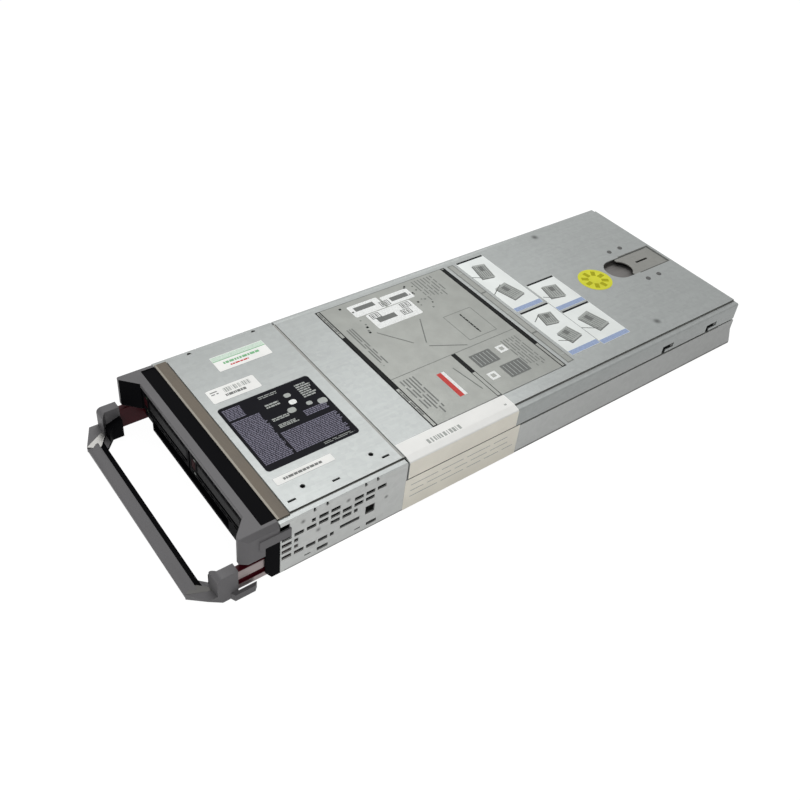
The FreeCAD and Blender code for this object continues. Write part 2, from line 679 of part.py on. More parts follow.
def is_cover_bend(middle):
    """Outer edges along the cover's two ledges."""
    near = size("seat_gap") / 2
    at_side = abs(abs(middle.x) - size("body_wide") / 2) < near
    return at_side and abs(middle.z - size("body_tall") + size("sheet")) < near


LATCH_REAR = f"({COVER_REAR} - latch_rear)"
LATCH_FRONT = f"({LATCH_REAR} - latch_long)"
FINGER_Y = f"({LATCH_FRONT} + latch_wide / 2)"
LATCH_PLATE = "(latch_long - latch_wide / 2 - latch_travel - latch_stop)"


def latch_window():
    """Cutters for the latch opening: a straight part with a round front end."""
    low = f"{SHEET_TOP} - sheet"
    wide = around("latch_x", "latch_wide")
    straight = block(wide, span(FINGER_Y, LATCH_REAR), (low, "body_tall + sheet"))
    return [straight, rod("z", "latch_wide / 2", ("latch_x", along(FINGER_Y), low), "3 * sheet")]


def stud_places():
    first = f"({PLATE_REAR} + stud_front)"
    last = f"({COVER_REAR} - stud_rear)"
    return (first, f"({last} - stud_pitch)", last)


def stud_slots():
    """Cutters for the hooked slots that the tray's studs run in, open at the front end."""
    through = around("0", "body_wide + 2 * sheet")
    reach = "(stud_r + slot_gap)"
    tools = []
    for place in stud_places():
        front = f"{place} - slide_travel - {reach}"
        tall = around("stud_z", f"2 * {reach}")
        tools.append(block(through, span(front, f"{place} + {reach}"), tall))
        tools.append(block(through, span(front, f"{front} + 2 * {reach}"), ("seam_tall", "stud_z")))
    return tools


def cover_studs():
    inner = f"{HALF} - sheet - seat_gap"
    studs = []
    for place in stud_places():
        for start in (inner, f"-({inner}) - stud_reach"):
            studs.append(peg("x", "stud_r", (start, along(place), "stud_z"), "stud_reach"))
    return part(group(studs), "cover_studs")


def rivet_places():
    side = "(latch_wide / 2 + rivet_inset)"
    places = []
    for step in (0, 1):
        y = f"{COVER_REAR} - rivet_rear - {step} * rivet_pitch"
        places.append((f"latch_x - {side}", f"({y})"))
        places.append((f"latch_x + {side}", f"({y})"))
    return places


def rivet_holes():
    deep = "2 * sheet + 2 * pan_sheet"
    tools = []
    for x, y in rivet_places():
        start = (x, along(y), f"{SHEET_TOP} - 2 * pan_sheet")
        tools.append(peg("z", "rivet_shank + screw_gap", start, deep))
    return tools


def latch_housing():
    body = new_body("pan_section")
    side = "latch_wide / 2 + pan_gap"
    floor = f"{SHEET_TOP} - pan_deep"
    right = [
        (f"{side} + pan_flange", SHEET_TOP),
        (f"{side} + pan_flange", f"{SHEET_TOP} - pan_sheet"),
        (f"{side} + pan_sheet", f"{SHEET_TOP} - pan_sheet"),
        (f"{side} + pan_sheet", floor),
    ]
    inside = [
        (side, f"{floor} + pan_sheet"),
        (side, SHEET_TOP),
    ]
    section = [(f"latch_x + {x}", z) for x, z in right]
    section += [(f"latch_x - ({x})", z) for x, z in reversed(right)]
    section += [(f"latch_x - ({x})", z) for x, z in reversed(inside)]
    section += [(f"latch_x + {x}", z) for x, z in inside]
    front = f"({LATCH_FRONT} - pan_gap)"
    sketch = outline(body, "XZ_Plane", [section], offset=f"-{front}")
    pad(body, sketch, f"{LATCH_REAR} - {LATCH_FRONT} + 2 * pan_gap", reverse=True)
    return part(cut(body, rivet_holes()), "latch_housing")


def cover_latch():
    rear = f"({LATCH_REAR} - seat_gap)"
    front = f"({rear} - {LATCH_PLATE})"
    top = "(body_tall - latch_sunk)"
    wide = around("latch_x", "latch_wide - 2 * seat_gap")
    plate = block(wide, span(front, rear), (f"{top} - latch_thick", top))
    foot_low = f"({SHEET_TOP} - pan_deep + pan_sheet + seat_gap)"
    slider_y = span(f"{rear} - slider_long", rear)
    slider = block(around("latch_x", "slider_wide"), slider_y, (foot_low, top))
    below = f"{top} - 2 * latch_thick"
    slot_rear = f"({rear} - latch_slot_rear)"
    slot_y = span(f"{slot_rear} - latch_slot_long", slot_rear)
    slot = block(around("latch_x", "latch_slot"), slot_y, (below, "body_tall"))
    bite = rod("z", "latch_bite", ("latch_x", along(f"{front} - latch_bite / 2"), below), "3 * latch_thick")
    return part(cut(fuse([plate, slider]), [bite, slot]), "cover_latch")


def latch_rivets():
    rivets = []
    low = f"{SHEET_TOP} - pan_sheet"
    for x, y in rivet_places():
        head = peg("z", "rivet_r", (x, along(y), "body_tall"), "rivet_head")
        shank = peg("z", "rivet_shank", (x, along(y), low), "pan_sheet + sheet")
        tail = peg("z", "rivet_r", (x, along(y), f"{low} - rivet_head"), "rivet_head")
        rivets.append(fuse([head, shank, tail]))
    return part(group(rivets), "latch_rivets")


# Front end: frame, bezel, screen and controls

USB_X = [f"({PANEL_LEFT} + panel_wide / 2 {sign} usb_spread / 2)" for sign in "-+"]
KEY_X = f"({PANEL_LEFT} + panel_wide / 2)"


def rail_slot(sign, gap="seat_gap"):
    x = (f"{sign}({HALF} - rail_in - {gap})", f"{sign}({HALF} - rail_out + {gap})")
    return rectangle(x, (f"rail_low - {gap}", f"{RAIL_TOP} + {gap}"))


def front_frame():
    body = new_body("frame_moulding")
    outer = rectangle((f"-{FRAME_HALF}", FRAME_HALF), ("seat_gap", "body_tall - frame_drop"))
    bays = rectangle((f"-{BAY_SIDE}", BAY_SIDE), (BAY_FLOOR, f"{CARRIER_TOP} + bay_gap"))
    window = rectangle((f"-{BAY_SIDE}", PANEL_LEFT), ("window_low", WINDOW_TOP))
    loops = [outer, bays, window, rail_slot(""), rail_slot("-")]
    port_tall = around("usb_rise", "usb_tall + 2 * key_gap")
    for x in USB_X:
        loops.append(rectangle(around(x, "usb_wide + 2 * key_gap"), port_tall))
    pad(body, outline(body, "XZ_Plane", loops), "frame_deep")
    chin = [("-frame_deep", "chin_tall"), ("-frame_deep", "0"), ("chin_deep - frame_deep", "0")]
    end = f"({BAY_SIDE} + block_gap)"
    pocket(body, outline(body, "YZ_Plane", [chin], offset=end), "body_wide", reverse=True)
    pocket(body, outline(body, "YZ_Plane", [chin], offset=f"-{end}"), "body_wide")
    key_start = (KEY_X, along("-2 * frame_deep"), "key_rise")
    tools = [rod("y", "key_r + key_gap", key_start, "3 * frame_deep")]
    corner_in = f"({HALF} - wrap_in)"
    corner_out = f"({HALF} + sheet)"
    corner_z = ("ear_low - seat_gap", "body_tall + sheet")
    for wide in ((corner_in, corner_out), (f"-{corner_out}", f"-{corner_in}")):
        tools.append(block(wide, span("-2 * frame_deep", "sheet"), corner_z))
    return part(cut(body, tools), "front_frame")


def bezel():
    body = new_body("bezel_moulding")
    block_in = f"({BAY_SIDE} + block_gap)"
    nose = [
        (block_in, "-strip_front"),
        (f"{HALF} - nose_in", "-bezel_front"),
        (f"{HALF} - nose_out", "-bezel_front"),
        (HALF, "nose_back - bezel_front"),
        (HALF, "-frame_deep"),
    ]
    top = outline(body, "XY_Plane", [both_sides(nose)], offset="body_tall - strip_tall")
    pad(body, top, "strip_tall")
    closed = nose + [(block_in, "-frame_deep")]
    blocks = outline(body, "XY_Plane", [closed, mirrored(closed)], offset=BLOCK_LOW)
    pad(body, blocks, "block_tall - strip_tall / 2")
    wrap_y = ("-frame_deep - block_wall", "-seat_gap")
    wrap = rectangle((f"{HALF} - wrap_in + seat_gap", HALF), wrap_y)
    pad(body, outline(body, "XY_Plane", [wrap, mirrored(wrap)], offset="ear_low"), "body_tall - ear_low")
    room = [
        (f"{block_in} + block_wall", "-strip_front"),
        (f"{HALF} - nose_in", "nose_wall - bezel_front"),
        (f"{HALF} - nose_out", "nose_wall - bezel_front"),
        (f"{HALF} - block_wall", "nose_back + block_wall - bezel_front"),
        (f"{HALF} - block_wall", "-frame_deep - block_wall"),
        (f"{block_in} + block_wall", "-frame_deep - block_wall"),
    ]
    hollow = outline(body, "XY_Plane", [room, mirrored(room)], offset=BLOCK_LOW)
    pocket(body, hollow, "block_tall - strip_tall", reverse=True)
    shoulder = [
        (f"{HALF} - shoulder_in", "body_tall"),
        (HALF, "body_tall - shoulder_in"),
        (HALF, "body_tall"),
    ]
    slopes = outline(body, "XZ_Plane", [shoulder, mirrored(shoulder)])
    pocket(body, slopes, "2 * bezel_front", reverse=True, middle=True)
    ear_z = ("ear_low", "ear_low + ear_tall")
    root_y = span("-ear_front", "-frame_deep")
    ear_y = span("-ear_front", "ear_long")
    solids = [body]
    for sign in ("", "-"):
        inner = f"{HALF} - ear_thick"
        outer = f"{HALF} + ear_thick"
        root_x = (inner, outer) if not sign else (f"-({outer})", f"-({inner})")
        ear_x = (HALF, outer) if not sign else (f"-({outer})", f"-{HALF}")
        solids.append(block(root_x, root_y, ear_z))
        solids.append(block(ear_x, ear_y, ear_z))
    return part(fuse(solids), "bezel")


def vent_screen():
    wide = (f"-{BAY_SIDE} + seat_gap", f"{PANEL_LEFT}")
    tall = ("sheet + seat_gap", f"{BAY_FLOOR} - sheet - seat_gap")
    plate = block(wide, span("0", "sheet"), tall)
    opening = 2 * (size("drive_wide") + 2 * size("carrier_rail")) - size("panel_wide")
    columns = int(opening // size("mesh_pitch"))
    rows = int((size("body_tall") - size("block_tall")) // size("mesh_rise")) - 1
    tools = []
    for row in range(rows):
        z = around(f"window_low + mesh_low + mesh_rise * {row}", "mesh_tall")
        for column in range(columns):
            start = f"-{BAY_SIDE} + mesh_side + mesh_pitch * {column}"
            tools.append(block((start, f"{start} + mesh_wide"), span("-sheet", "2 * sheet"), z))
    return part(cut(plate, tools), "vent_screen")


def usb_ports():
    """Two shells, each a sheet tube open to the front, with its tongue inside."""
    shells = []
    rear = "seat_gap + key_travel + key_collar + seat_gap"
    inside_y = span("-frame_deep - usb_wall", f"{rear} - usb_wall")
    inside_z = around("usb_rise", "usb_tall - 2 * usb_wall")
    tongue_low = "usb_rise + usb_tall / 2 - 2 * usb_wall - usb_tongue"
    tongue_y = span("2 * usb_wall - frame_deep", rear)
    tongue_z = (tongue_low, f"{tongue_low} + usb_tongue")
    for x in USB_X:
        outside = block(around(x, "usb_wide"), span("-frame_deep", rear), around("usb_rise", "usb_tall"))
        inside = block(around(x, "usb_wide - 2 * usb_wall"), inside_y, inside_z)
        tongue = block(around(x, "usb_wide - 6 * usb_wall"), tongue_y, tongue_z)
        shells.append(fuse([cut(outside, [inside]), tongue]))
    return part(group(shells), "usb_ports")


def power_button():
    """Round cap with a square stop flange behind the frame."""
    cap_length = "frame_deep + key_proud + seat_gap + key_collar"
    cap = rod("y", "key_r", (KEY_X, along("-frame_deep - key_proud"), "key_rise"), cap_length)
    wide = "2 * key_r + 2 * key_collar"
    flange_y = span("seat_gap", "seat_gap + key_collar")
    flange = block(around(KEY_X, wide), flange_y, around("key_rise", wide))
    return part(fuse([cap, flange]), "power_button")


def control_board():
    front = "(seat_gap + key_travel + key_collar + seat_gap)"
    wide = (f"{PANEL_LEFT} + seat_gap", f"{BAY_SIDE} - mate_gap")
    tall = ("sheet", f"{BAY_FLOOR} - sheet - seat_gap")
    return part(block(wide, span(front, f"{front} + board_thick"), tall), "control_board")


# Pull-out handle


GRIP_REAR = "(grip_wide - handle_reach)"
LINER_REAR = "(frame_deep + handle_travel + liner_stop)"


def handle():
    """Two arms with sloped corners, joined by the grip bar, and a foot outside each arm."""
    body = new_body("handle_moulding")
    arm_in = f"{HALF} - arm_wide"
    end = [
        (HALF, "-arm_rear"),
        (HALF, "-corner_rear - corner_step"),
        (f"{HALF} - corner_in", "-handle_reach"),
        (f"{HALF} - grip_in", GRIP_REAR),
        (arm_in, "-corner_rear"),
        (arm_in, "-arm_rear"),
    ]
    ends = outline(body, "XY_Plane", [end, mirrored(end)], offset="grip_low")
    pad(body, ends, f"{CAP_TOP} - grip_low")
    ramp = [
        (f"{HALF} - grip_in - sheet", "ramp_low"),
        (f"{HALF} + sheet", "ramp_tall"),
        (f"{HALF} + sheet", "body_tall"),
        (f"{HALF} - grip_in - sheet", "body_tall"),
    ]
    ramps = outline(body, "XZ_Plane", [ramp, mirrored(ramp)], offset="cap_front")
    slopes = pocket(body, ramps, "handle_reach", reverse=True)
    round_edges(body, slopes, "cap_round", is_cap_edge)
    corner_run = "(handle_reach - corner_rear)"
    under = [
        (f"{HALF} - 2 * corner_in", f"-handle_reach - {corner_run}"),
        (f"{HALF} + corner_in", f"-corner_rear + {corner_run}"),
        (f"{HALF} + body_tall", f"-corner_rear + {corner_run}"),
        (f"{HALF} + body_tall", f"-handle_reach - {corner_run}"),
    ]
    undersides = outline(body, "XY_Plane", [under, mirrored(under)], offset="grip_low")
    lean = pocket(body, undersides, "ramp_tall - grip_low", reverse=True)
    lean.setExpression("TaperAngle", ex("-corner_lean"))
    bar = [
        ("-handle_reach", "grip_low + grip_round"),
        ("-handle_reach", "grip_front"),
        (GRIP_REAR, "grip_rear"),
        (GRIP_REAR, "grip_low"),
        ("grip_round - handle_reach", "grip_low"),
    ]
    pad(body, outline(body, "YZ_Plane", [bar]), "body_wide - 2 * corner_in", middle=True)
    foot = [
        (f"{HALF} - arm_wide / 2", "-foot_front"),
        (f"{HALF} + foot_out", "foot_out - foot_front"),
        (f"{HALF} + foot_out", "-foot_rear - foot_round"),
        (f"{HALF} + foot_out - foot_round", "-foot_rear"),
        (f"{HALF} + foot_gap", "-foot_rear"),
        (f"{HALF} + foot_gap", "-arm_rear - foot_gap"),
        (f"{HALF} - arm_wide / 2", "-arm_rear - foot_gap"),
    ]
    feet = outline(body, "XY_Plane", [foot, mirrored(foot)], offset="grip_low")
    pad(body, feet, "foot_tall")
    return part(body, "handle")


def is_cap_edge(middle):
    top = size("body_tall") - size("block_tall") - size("cap_gap")
    at_front = abs(middle.y + size("cap_front")) < size("seat_gap")
    return at_front and abs(middle.z - top) < size("seat_gap")


def handle_insert():
    body = new_body("liner_moulding")
    arm_in = f"{HALF} - arm_wide"
    outer = [
        (arm_in, f"-{LINER_REAR}"),
        (arm_in, "-corner_rear"),
        (f"{HALF} - grip_in", GRIP_REAR),
    ]
    inner = [
        (f"{HALF} - grip_in - liner_grip / 2", f"{GRIP_REAR} + liner_grip"),
        (f"{arm_in} - liner_wide", "-corner_rear + liner_grip / 2"),
        (f"{arm_in} - liner_wide", f"-{LINER_REAR}"),
    ]
    plan = outer + mirrored(reversed(outer)) + mirrored(reversed(inner)) + inner
    pad(body, outline(body, "XY_Plane", [plan], offset="grip_low"), "liner_tall - grip_low")
    above = [
        (f"{GRIP_REAR} - grip_wide", "grip_rear"),
        (GRIP_REAR, "grip_rear"),
        (f"{GRIP_REAR} + liner_grip", "liner_drop"),
        ("-liner_lug", "liner_drop + grip_low"),
        ("-liner_lug", "body_tall"),
        (f"{GRIP_REAR} - grip_wide", "body_tall"),
    ]
    pocket(body, outline(body, "YZ_Plane", [above]), "2 * body_wide", middle=True)
    return part(body, "handle_insert")


def handle_rail(sign, label):
    body = new_body("rail_section")
    inner = f"{HALF} - rail_in"
    outer = f"{HALF} - rail_out"
    groove = f"{outer} - rail_deep"
    rib_top = "rail_low + rail_rib"
    section = [
        (inner, "rail_low"),
        (outer, "rail_low"),
        (outer, rib_top),
        (groove, rib_top),
        (groove, f"{rib_top} + rail_groove"),
        (outer, f"{rib_top} + rail_groove"),
        (outer, RAIL_TOP),
        (inner, RAIL_TOP),
    ]
    points = section if not sign else mirrored(section)
    sketch = outline(body, "XZ_Plane", [points], offset="arm_rear")
    pad(body, sketch, "arm_rear + rail_inside", reverse=True)
    return part(body, label)


# Drive bays


def drive_cage():
    body = new_body("cage_sheet")
    outer = f"{BAY_SIDE} + sheet"
    floor_low = f"{BAY_FLOOR} - sheet"
    top = f"{SHEET_TOP} - sheet"
    right = [
        (BAY_SIDE, "sheet"),
        (outer, "sheet"),
        (outer, top),
        (BAY_SIDE, top),
        (BAY_SIDE, BAY_FLOOR),
        ("sheet / 2", BAY_FLOOR),
        ("sheet / 2", f"{CARRIER_TOP} + bay_gap"),
    ]
    section = both_sides([(BAY_SIDE, floor_low)] + right)
    pad(body, outline(body, "XZ_Plane", [section]), CAGE_REAR, reverse=True)
    notch_y = span(DRIVE_REAR, f"{CAGE_REAR} + sheet")
    notch = block(around("0", "3 * sheet"), notch_y, (BAY_FLOOR, "body_tall"))
    return part(cut(body, [notch]), "drive_cage")


def drive_backplane():
    wide = (f"-{BAY_SIDE} + mate_gap", f"{BAY_SIDE} - mate_gap")
    board = block(wide, span(BACKPLANE, CAGE_REAR), (BAY_FLOOR, f"{CARRIER_TOP} + bay_gap"))
    return part(board, "drive_backplane")


def drive_connectors():
    plugs = []
    plug_y = span(f"{DRIVE_REAR} + mate_gap", BACKPLANE)
    for sign in ("-", ""):
        wide = around(f"{sign}{BAY_X}", "plug_wide")
        plugs.append(block(wide, plug_y, around(CARRIER_MID, "plug_tall")))
    return part(group(plugs), "drive_connectors")


def bay_sides(sign):
    """Left and right side of a carrier."""
    middle = f"{sign}{BAY_X}"
    return around(middle, CARRIER_WIDE)


def hinge_place(sign):
    x = f"({bay_sides(sign)[1]} - recess_right - barrel_r - lever_gap)"
    y = "(barrel_r + lever_gap - front_reach)"
    return x, y


NOSE_REAR = "(carrier_nose - front_reach)"


def drive_carrier(sign, label):
    left, right = bay_sides(sign)
    nose = block((left, right), span("-front_reach", NOSE_REAR), (CARRIER_LOW, CARRIER_TOP))
    rail_z = (f"{CARRIER_LOW} + carrier_lip / 2", f"{CARRIER_TOP} - carrier_lip / 2")
    rail_y = span(NOSE_REAR, f"{DRIVE_REAR} - rail_short")
    rails = [
        block((left, f"{left} + carrier_rail"), rail_y, rail_z),
        block((f"{right} - carrier_rail", right), rail_y, rail_z),
    ]
    recess_z = around(CARRIER_MID, "recess_tall")
    recess_y = span("-front_reach - sheet", "recess_deep - front_reach")
    recess = block((f"{left} + recess_left", f"{right} - recess_right"), recess_y, recess_z)
    button_x = f"{left} + button_side + button_wide / 2"
    button_y = span("-front_reach - sheet", "button_deep + button_room - front_reach")
    button_hole = block(around(button_x, "button_wide + 2 * button_gap"), button_y,
                        around(CARRIER_MID, "lever_tall + 2 * button_gap"))
    x, y = hinge_place(sign)
    pin_low = f"{CARRIER_MID} - recess_tall / 2 - carrier_lip / 2"
    pin = rod("z", "pin_r", (x, along(y), pin_low), "recess_tall + carrier_lip")
    shell = cut(fuse([nose] + rails), [recess, button_hole] + louvres(left))
    return part(fuse([shell, pin]), label)


def louvres(left):
    """Cutters for the air slots above and below the lever."""
    count = int(size("drive_wide") // size("louvre_pitch"))
    edges = (f"{CARRIER_LOW} + louvre_edge", f"{CARRIER_TOP} - louvre_edge - louvre_tall")
    through = span("-front_reach - sheet", f"{NOSE_REAR} + sheet")
    tools = []
    for low in edges:
        for step in range(count):
            start = f"{left} + carrier_rail + louvre_edge + {step} * louvre_pitch"
            tools.append(block((start, f"{start} + louvre_wide"), through, (low, f"{low} + louvre_tall")))
    return tools


def drive_lever(sign, label):
    left = bay_sides(sign)[0]
    x, y = hinge_place(sign)
    z = around(CARRIER_MID, "lever_tall")
    barrel = rod("z", "barrel_r", (x, along(y), z[0]), "lever_tall")
    face = "(seat_gap - front_reach)"
    free = f"{left} + recess_left + lever_gap"
    blade = block((free, x), span(face, f"{face} + lever_thick"), z)
    tip = block((free, f"{free} + tip_long"), span(face, "recess_deep - lever_gap - front_reach"), z)
    bore = rod("z", "pin_r + pin_play", (x, along(y), f"{z[0]} - sheet"), "lever_tall + 2 * sheet")
    return part(cut(fuse([barrel, blade, tip]), [bore]), label)


def drive_button(sign, label):
    middle = f"{bay_sides(sign)[0]} + button_side + button_wide / 2"
    deep = span("-front_reach", "button_deep - front_reach")
    return part(block(around(middle, "button_wide"), deep, around(CARRIER_MID, "lever_tall")), label)


def hard_drive(sign, label):
    middle = f"{sign}{BAY_X}"
    low = f"({CARRIER_LOW} + carrier_lip)"
    top = f"({low} + drive_tall)"
    casting = block(around(middle, "drive_wide"), span(DRIVE_FRONT, DRIVE_REAR), (low, f"{top} - lid_tall"))
    lid_y = span(f"{DRIVE_FRONT} + lid_inset", f"{DRIVE_REAR} - lid_inset")
    lid = block(around(middle, "drive_wide - 2 * lid_inset"), lid_y, (f"{top} - 2 * lid_tall", top))
    return part(fuse([casting, lid]), label)


# System board and what it carries


POSTS_PER_SIDE = 4


def post_places():
    side = f"({BOARD_HALF} - post_in)"
    front = f"({BOARD_FRONT} + post_in)"
    rear = f"({TAIL_FRONT} - post_in)"
    places = []
    for sign in ("-", ""):
        for step in range(POSTS_PER_SIDE):
            y = f"({front} + ({rear} - {front}) * {step} / {POSTS_PER_SIDE - 1})"
            places.append((f"{sign}{side}", y))
    return places


def system_board():
    wide = (f"-{BOARD_HALF}", BOARD_HALF)
    board = block(wide, span(BOARD_FRONT, BOARD_REAR), (BOARD_LOW, BOARD_TOP))
    holes = []
    for x, y in post_places():
        start = (x, along(y), f"{BOARD_LOW} - board_thick")
        holes.append(peg("z", "screw_r + screw_gap", start, "3 * board_thick"))
    return part(cut(board, holes), "system_board")


def board_standoffs():
    posts = []
    for x, y in post_places():
        posts.append(peg("z", "post_r", (x, along(y), "sheet"), "post_tall", HEXAGON))
    return part(group(posts), "board_standoffs")


def board_screws():
    screws = []
    for x, y in post_places():
        head = peg("z", "screw_head", (x, along(y), BOARD_TOP), "screw_tall", HEXAGON)
        shank = peg("z", "screw_r", (x, along(y), BOARD_LOW), "board_thick")
        screws.append(fuse([head, shank]))
    return part(group(screws), "board_screws")


SINK_MID = f"({SINK_FRONT} + sink_long / 2)"
SINK_X = f"({BOARD_HALF} / 2)"
SINK_LOW = f"({BOARD_TOP} + socket_tall + chip_tall)"


def processor(sign, side):
    x = f"{sign}{SINK_X}"
    y = along(SINK_MID)
    chip_low = f"({BOARD_TOP} + socket_tall)"
    socket = block(around(x, "socket_wide"), around(y, "socket_wide"), (BOARD_TOP, chip_low))
    part(socket, f"cpu_socket_{side}")
    lid_low = f"{chip_low} + chip_tall / 2"
    carrier = block(around(x, "chip_wide"), around(y, "chip_wide"), (chip_low, lid_low))
    lid = block(around(x, "chip_lid"), around(y, "chip_lid"), (lid_low, SINK_LOW))
    part(fuse([carrier, lid]), f"processor_{side}")


def heatsink(sign, label):
    """Base plate with one fin repeated across it."""
    body = new_body("sink_casting")
    middle = f"{sign}{SINK_X}"
    fin_top = f"({SHEET_TOP} - sink_room)"
    base = rectangle(around(middle, "sink_wide"), (SINK_LOW, f"{SINK_LOW} + sink_base"))
    pad(body, outline(body, "XZ_Plane", [base], offset=f"-{SINK_FRONT}"), "sink_long", reverse=True)
    left = f"{middle} - sink_wide / 2"
    first = rectangle((left, f"{left} + fin_thick"), (f"{SINK_LOW} + sink_base / 2", fin_top))
    fin_sketch = outline(body, "XZ_Plane", [first], offset=f"-{SINK_FRONT}")
    fin = pad(body, fin_sketch, "sink_long", reverse=True)
    doc.recompute()
    row = body.newObject("PartDesign::LinearPattern", "fins")
    row.Originals = [fin]
    row.Direction = (fin_sketch, ["H_Axis"])
    row.Occurrences = round((size("sink_wide") - size("fin_thick")) / size("fin_pitch")) + 1
    row.setExpression("Length", ex("sink_wide - fin_thick"))
    body.Tip = row
    return part(body, label)


def memory_x(sign, number):
    return f"{sign}({BOARD_HALF} - clip_side - {number} * clip_pitch)"


MODULE_LOW = f"({BOARD_TOP} + clip_tall - clip_slot)"
MEMORY_MID = f"({MEMORY_FRONT} + {CLIP_LONG} / 2)"
MODULES_PER_SIDE = 4


def memory_sockets(sign, label):
    sockets = []
    top = f"{BOARD_TOP} + clip_tall"
    tower_top = f"{BOARD_TOP} + 2 * clip_tall"
    slot_end = "(module_long / 2 + 2 * module_play)"
    socket_end = "(module_long / 2 + clip_end)"
    slot_y = span(f"{MEMORY_MID} - {slot_end}", f"{MEMORY_MID} + {slot_end}")
    socket_y = span(f"{MEMORY_MID} - {socket_end}", f"{MEMORY_MID} + {socket_end}")
    towers_y = [
        span(f"{MEMORY_MID} - {socket_end}", f"{MEMORY_MID} - {slot_end}"),
        span(f"{MEMORY_MID} + {slot_end}", f"{MEMORY_MID} + {socket_end}"),
    ]
    for number in range(MODULES_PER_SIDE):
        x = memory_x(sign, number)
        wide = around(x, "clip_wide")
        base = block(wide, socket_y, (BOARD_TOP, top))
        towers = [block(wide, tower_y, (BOARD_TOP, tower_top)) for tower_y in towers_y]
        slot = block(around(x, "module_thick + 2 * module_play"), slot_y, (MODULE_LOW, tower_top))
        sockets.append(cut(fuse([base] + towers), [slot]))
    return part(group(sockets), label)


def memory_module(sign, number, label):
    x = memory_x(sign, number)
    y = along(MEMORY_MID)
    top = f"{MODULE_LOW} + module_tall"
    board = block(around(x, "module_thick"), around(y, "module_long"), (MODULE_LOW, top))
    spreader_y = around(y, "module_long - 2 * spreader_rise")
    spreader_z = (f"{MODULE_LOW} + spreader_rise", f"{top} - spreader_drop")
    spreader = block(around(x, "spreader_thick"), spreader_y, spreader_z)
    return part(fuse([board, spreader]), label)


def chipset_heatsink():
    y = around(along(f"{MEMORY_FRONT} + hub_wide / 2"), "hub_wide")
    base = block(around("0", "hub_wide"), y, (BOARD_TOP, f"{BOARD_TOP} + hub_base"))
    fin_z = (f"{BOARD_TOP} + hub_base - fin_thick", f"{BOARD_TOP} + hub_tall")
    count = int(size("hub_wide") // size("fin_pitch"))
    fins = []
    for step in range(count):
        start = f"-hub_wide / 2 + fin_thick + {step} * fin_pitch"
        fins.append(block((start, f"{start} + hub_fin"), y, fin_z))
    return part(fuse([base] + fins), "chipset_heatsink")


CARD_FRONT = f"({MEMORY_FRONT} + hub_wide + zone_gap)"


def storage_controller():
    low = f"({BOARD_TOP} + card_rise)"
    top = f"({low} + board_thick)"
    card = block(around("0", "card_wide"), span(CARD_FRONT, f"{CARD_FRONT} + card_long"), (low, top))
    foot_y = span(CARD_FRONT, f"{CARD_FRONT} + card_plug_long")
    foot = block(around("0", "card_plug_wide"), foot_y, (BOARD_TOP, low))
    chip_y = around(along(f"{CARD_FRONT} + card_long / 2"), "card_chip")
    chip = block(around("0", "card_chip"), chip_y, (top, f"{top} + board_thick"))
    return part(fuse([card, foot, chip]), "storage_controller")


CELL_Y = f"({CARD_FRONT} + card_long + cell_r + 3 * cell_wall)"


def coin_cell():
    low = f"({BOARD_TOP} + cell_wall)"
    middle = ("0", along(CELL_Y), low)
    part(rod("z", "cell_r", middle, "cell_tall"), "coin_cell")
    wide = "2 * (cell_r + cell_play + cell_wall)"
    frame = block(around("0", wide), around(along(CELL_Y), wide), (BOARD_TOP, f"{low} + cell_tall / 2"))
    room = rod("z", "cell_r + cell_play", middle, "cell_tall")
    part(cut(frame, [room]), "coin_cell_holder")


MEZZ_LOW = f"({BOARD_TOP} + mezz_rise)"


def mezzanine_card(sign, label):
    x = f"{sign}{SINK_X}"
    top = f"({MEZZ_LOW} + board_thick)"
    card_y = span(MEZZ_FRONT, f"{MEZZ_FRONT} + mezz_long")
    card = block(around(x, "mezz_wide"), card_y, (MEZZ_LOW, top))
    chip_y = around(along(f"{MEZZ_FRONT} + mezz_chip_in"), "mezz_chip")
    chip = block(around(x, "mezz_chip"), chip_y, (top, f"{top} + mezz_chip_tall"))
    return part(fuse([card, chip]), label)


def mezzanine_connectors():
    plugs = []
    for sign in ("-", ""):
        wide = around(f"{sign}{SINK_X}", "mezz_plug_wide")
        for place in ("mezz_plug_in", "mezz_long - mezz_plug_in"):
            middle = along(f"{MEZZ_FRONT} + {place}")
            plugs.append(block(wide, around(middle, "mezz_plug_long"), (BOARD_TOP, MEZZ_LOW)))
    return part(group(plugs), "mezzanine_connectors")


# Rear connectors and guides


BUSH_X = f"({BOARD_HALF} - bush_in)"
LINK_X = f"({BUSH_X} - bush_wide / 2 - link_gap - link_wide / 2)"
CONTACT_Y = span(f"{TRAY_REAR} - link_deep", f"{TRAY_REAR} + sheet")


def midplane_connector(sign, label):
    x = f"{sign}{LINK_X}"
    tall = (BOARD_TOP, f"{BOARD_TOP} + link_tall")
    shell = block(around(x, "link_wide"), span(TAIL_FRONT, TRAY_REAR), tall)
    columns = int(size("link_wide") // size("link_pitch")) - 1
    rows = int(size("link_tall") // size("link_pitch"))
    tools = []
    for row in range(rows):
        rise = f"link_tall / 2 + ({row} - {(rows - 1) / 2}) * link_pitch"
        z = around(f"{BOARD_TOP} + {rise}", "link_slot")
        for column in range(columns):
            middle = f"{x} + ({column} - {(columns - 1) / 2}) * link_pitch"
            tools.append(block(around(middle, "link_slot"), CONTACT_Y, z))
    return part(cut(shell, tools), label)


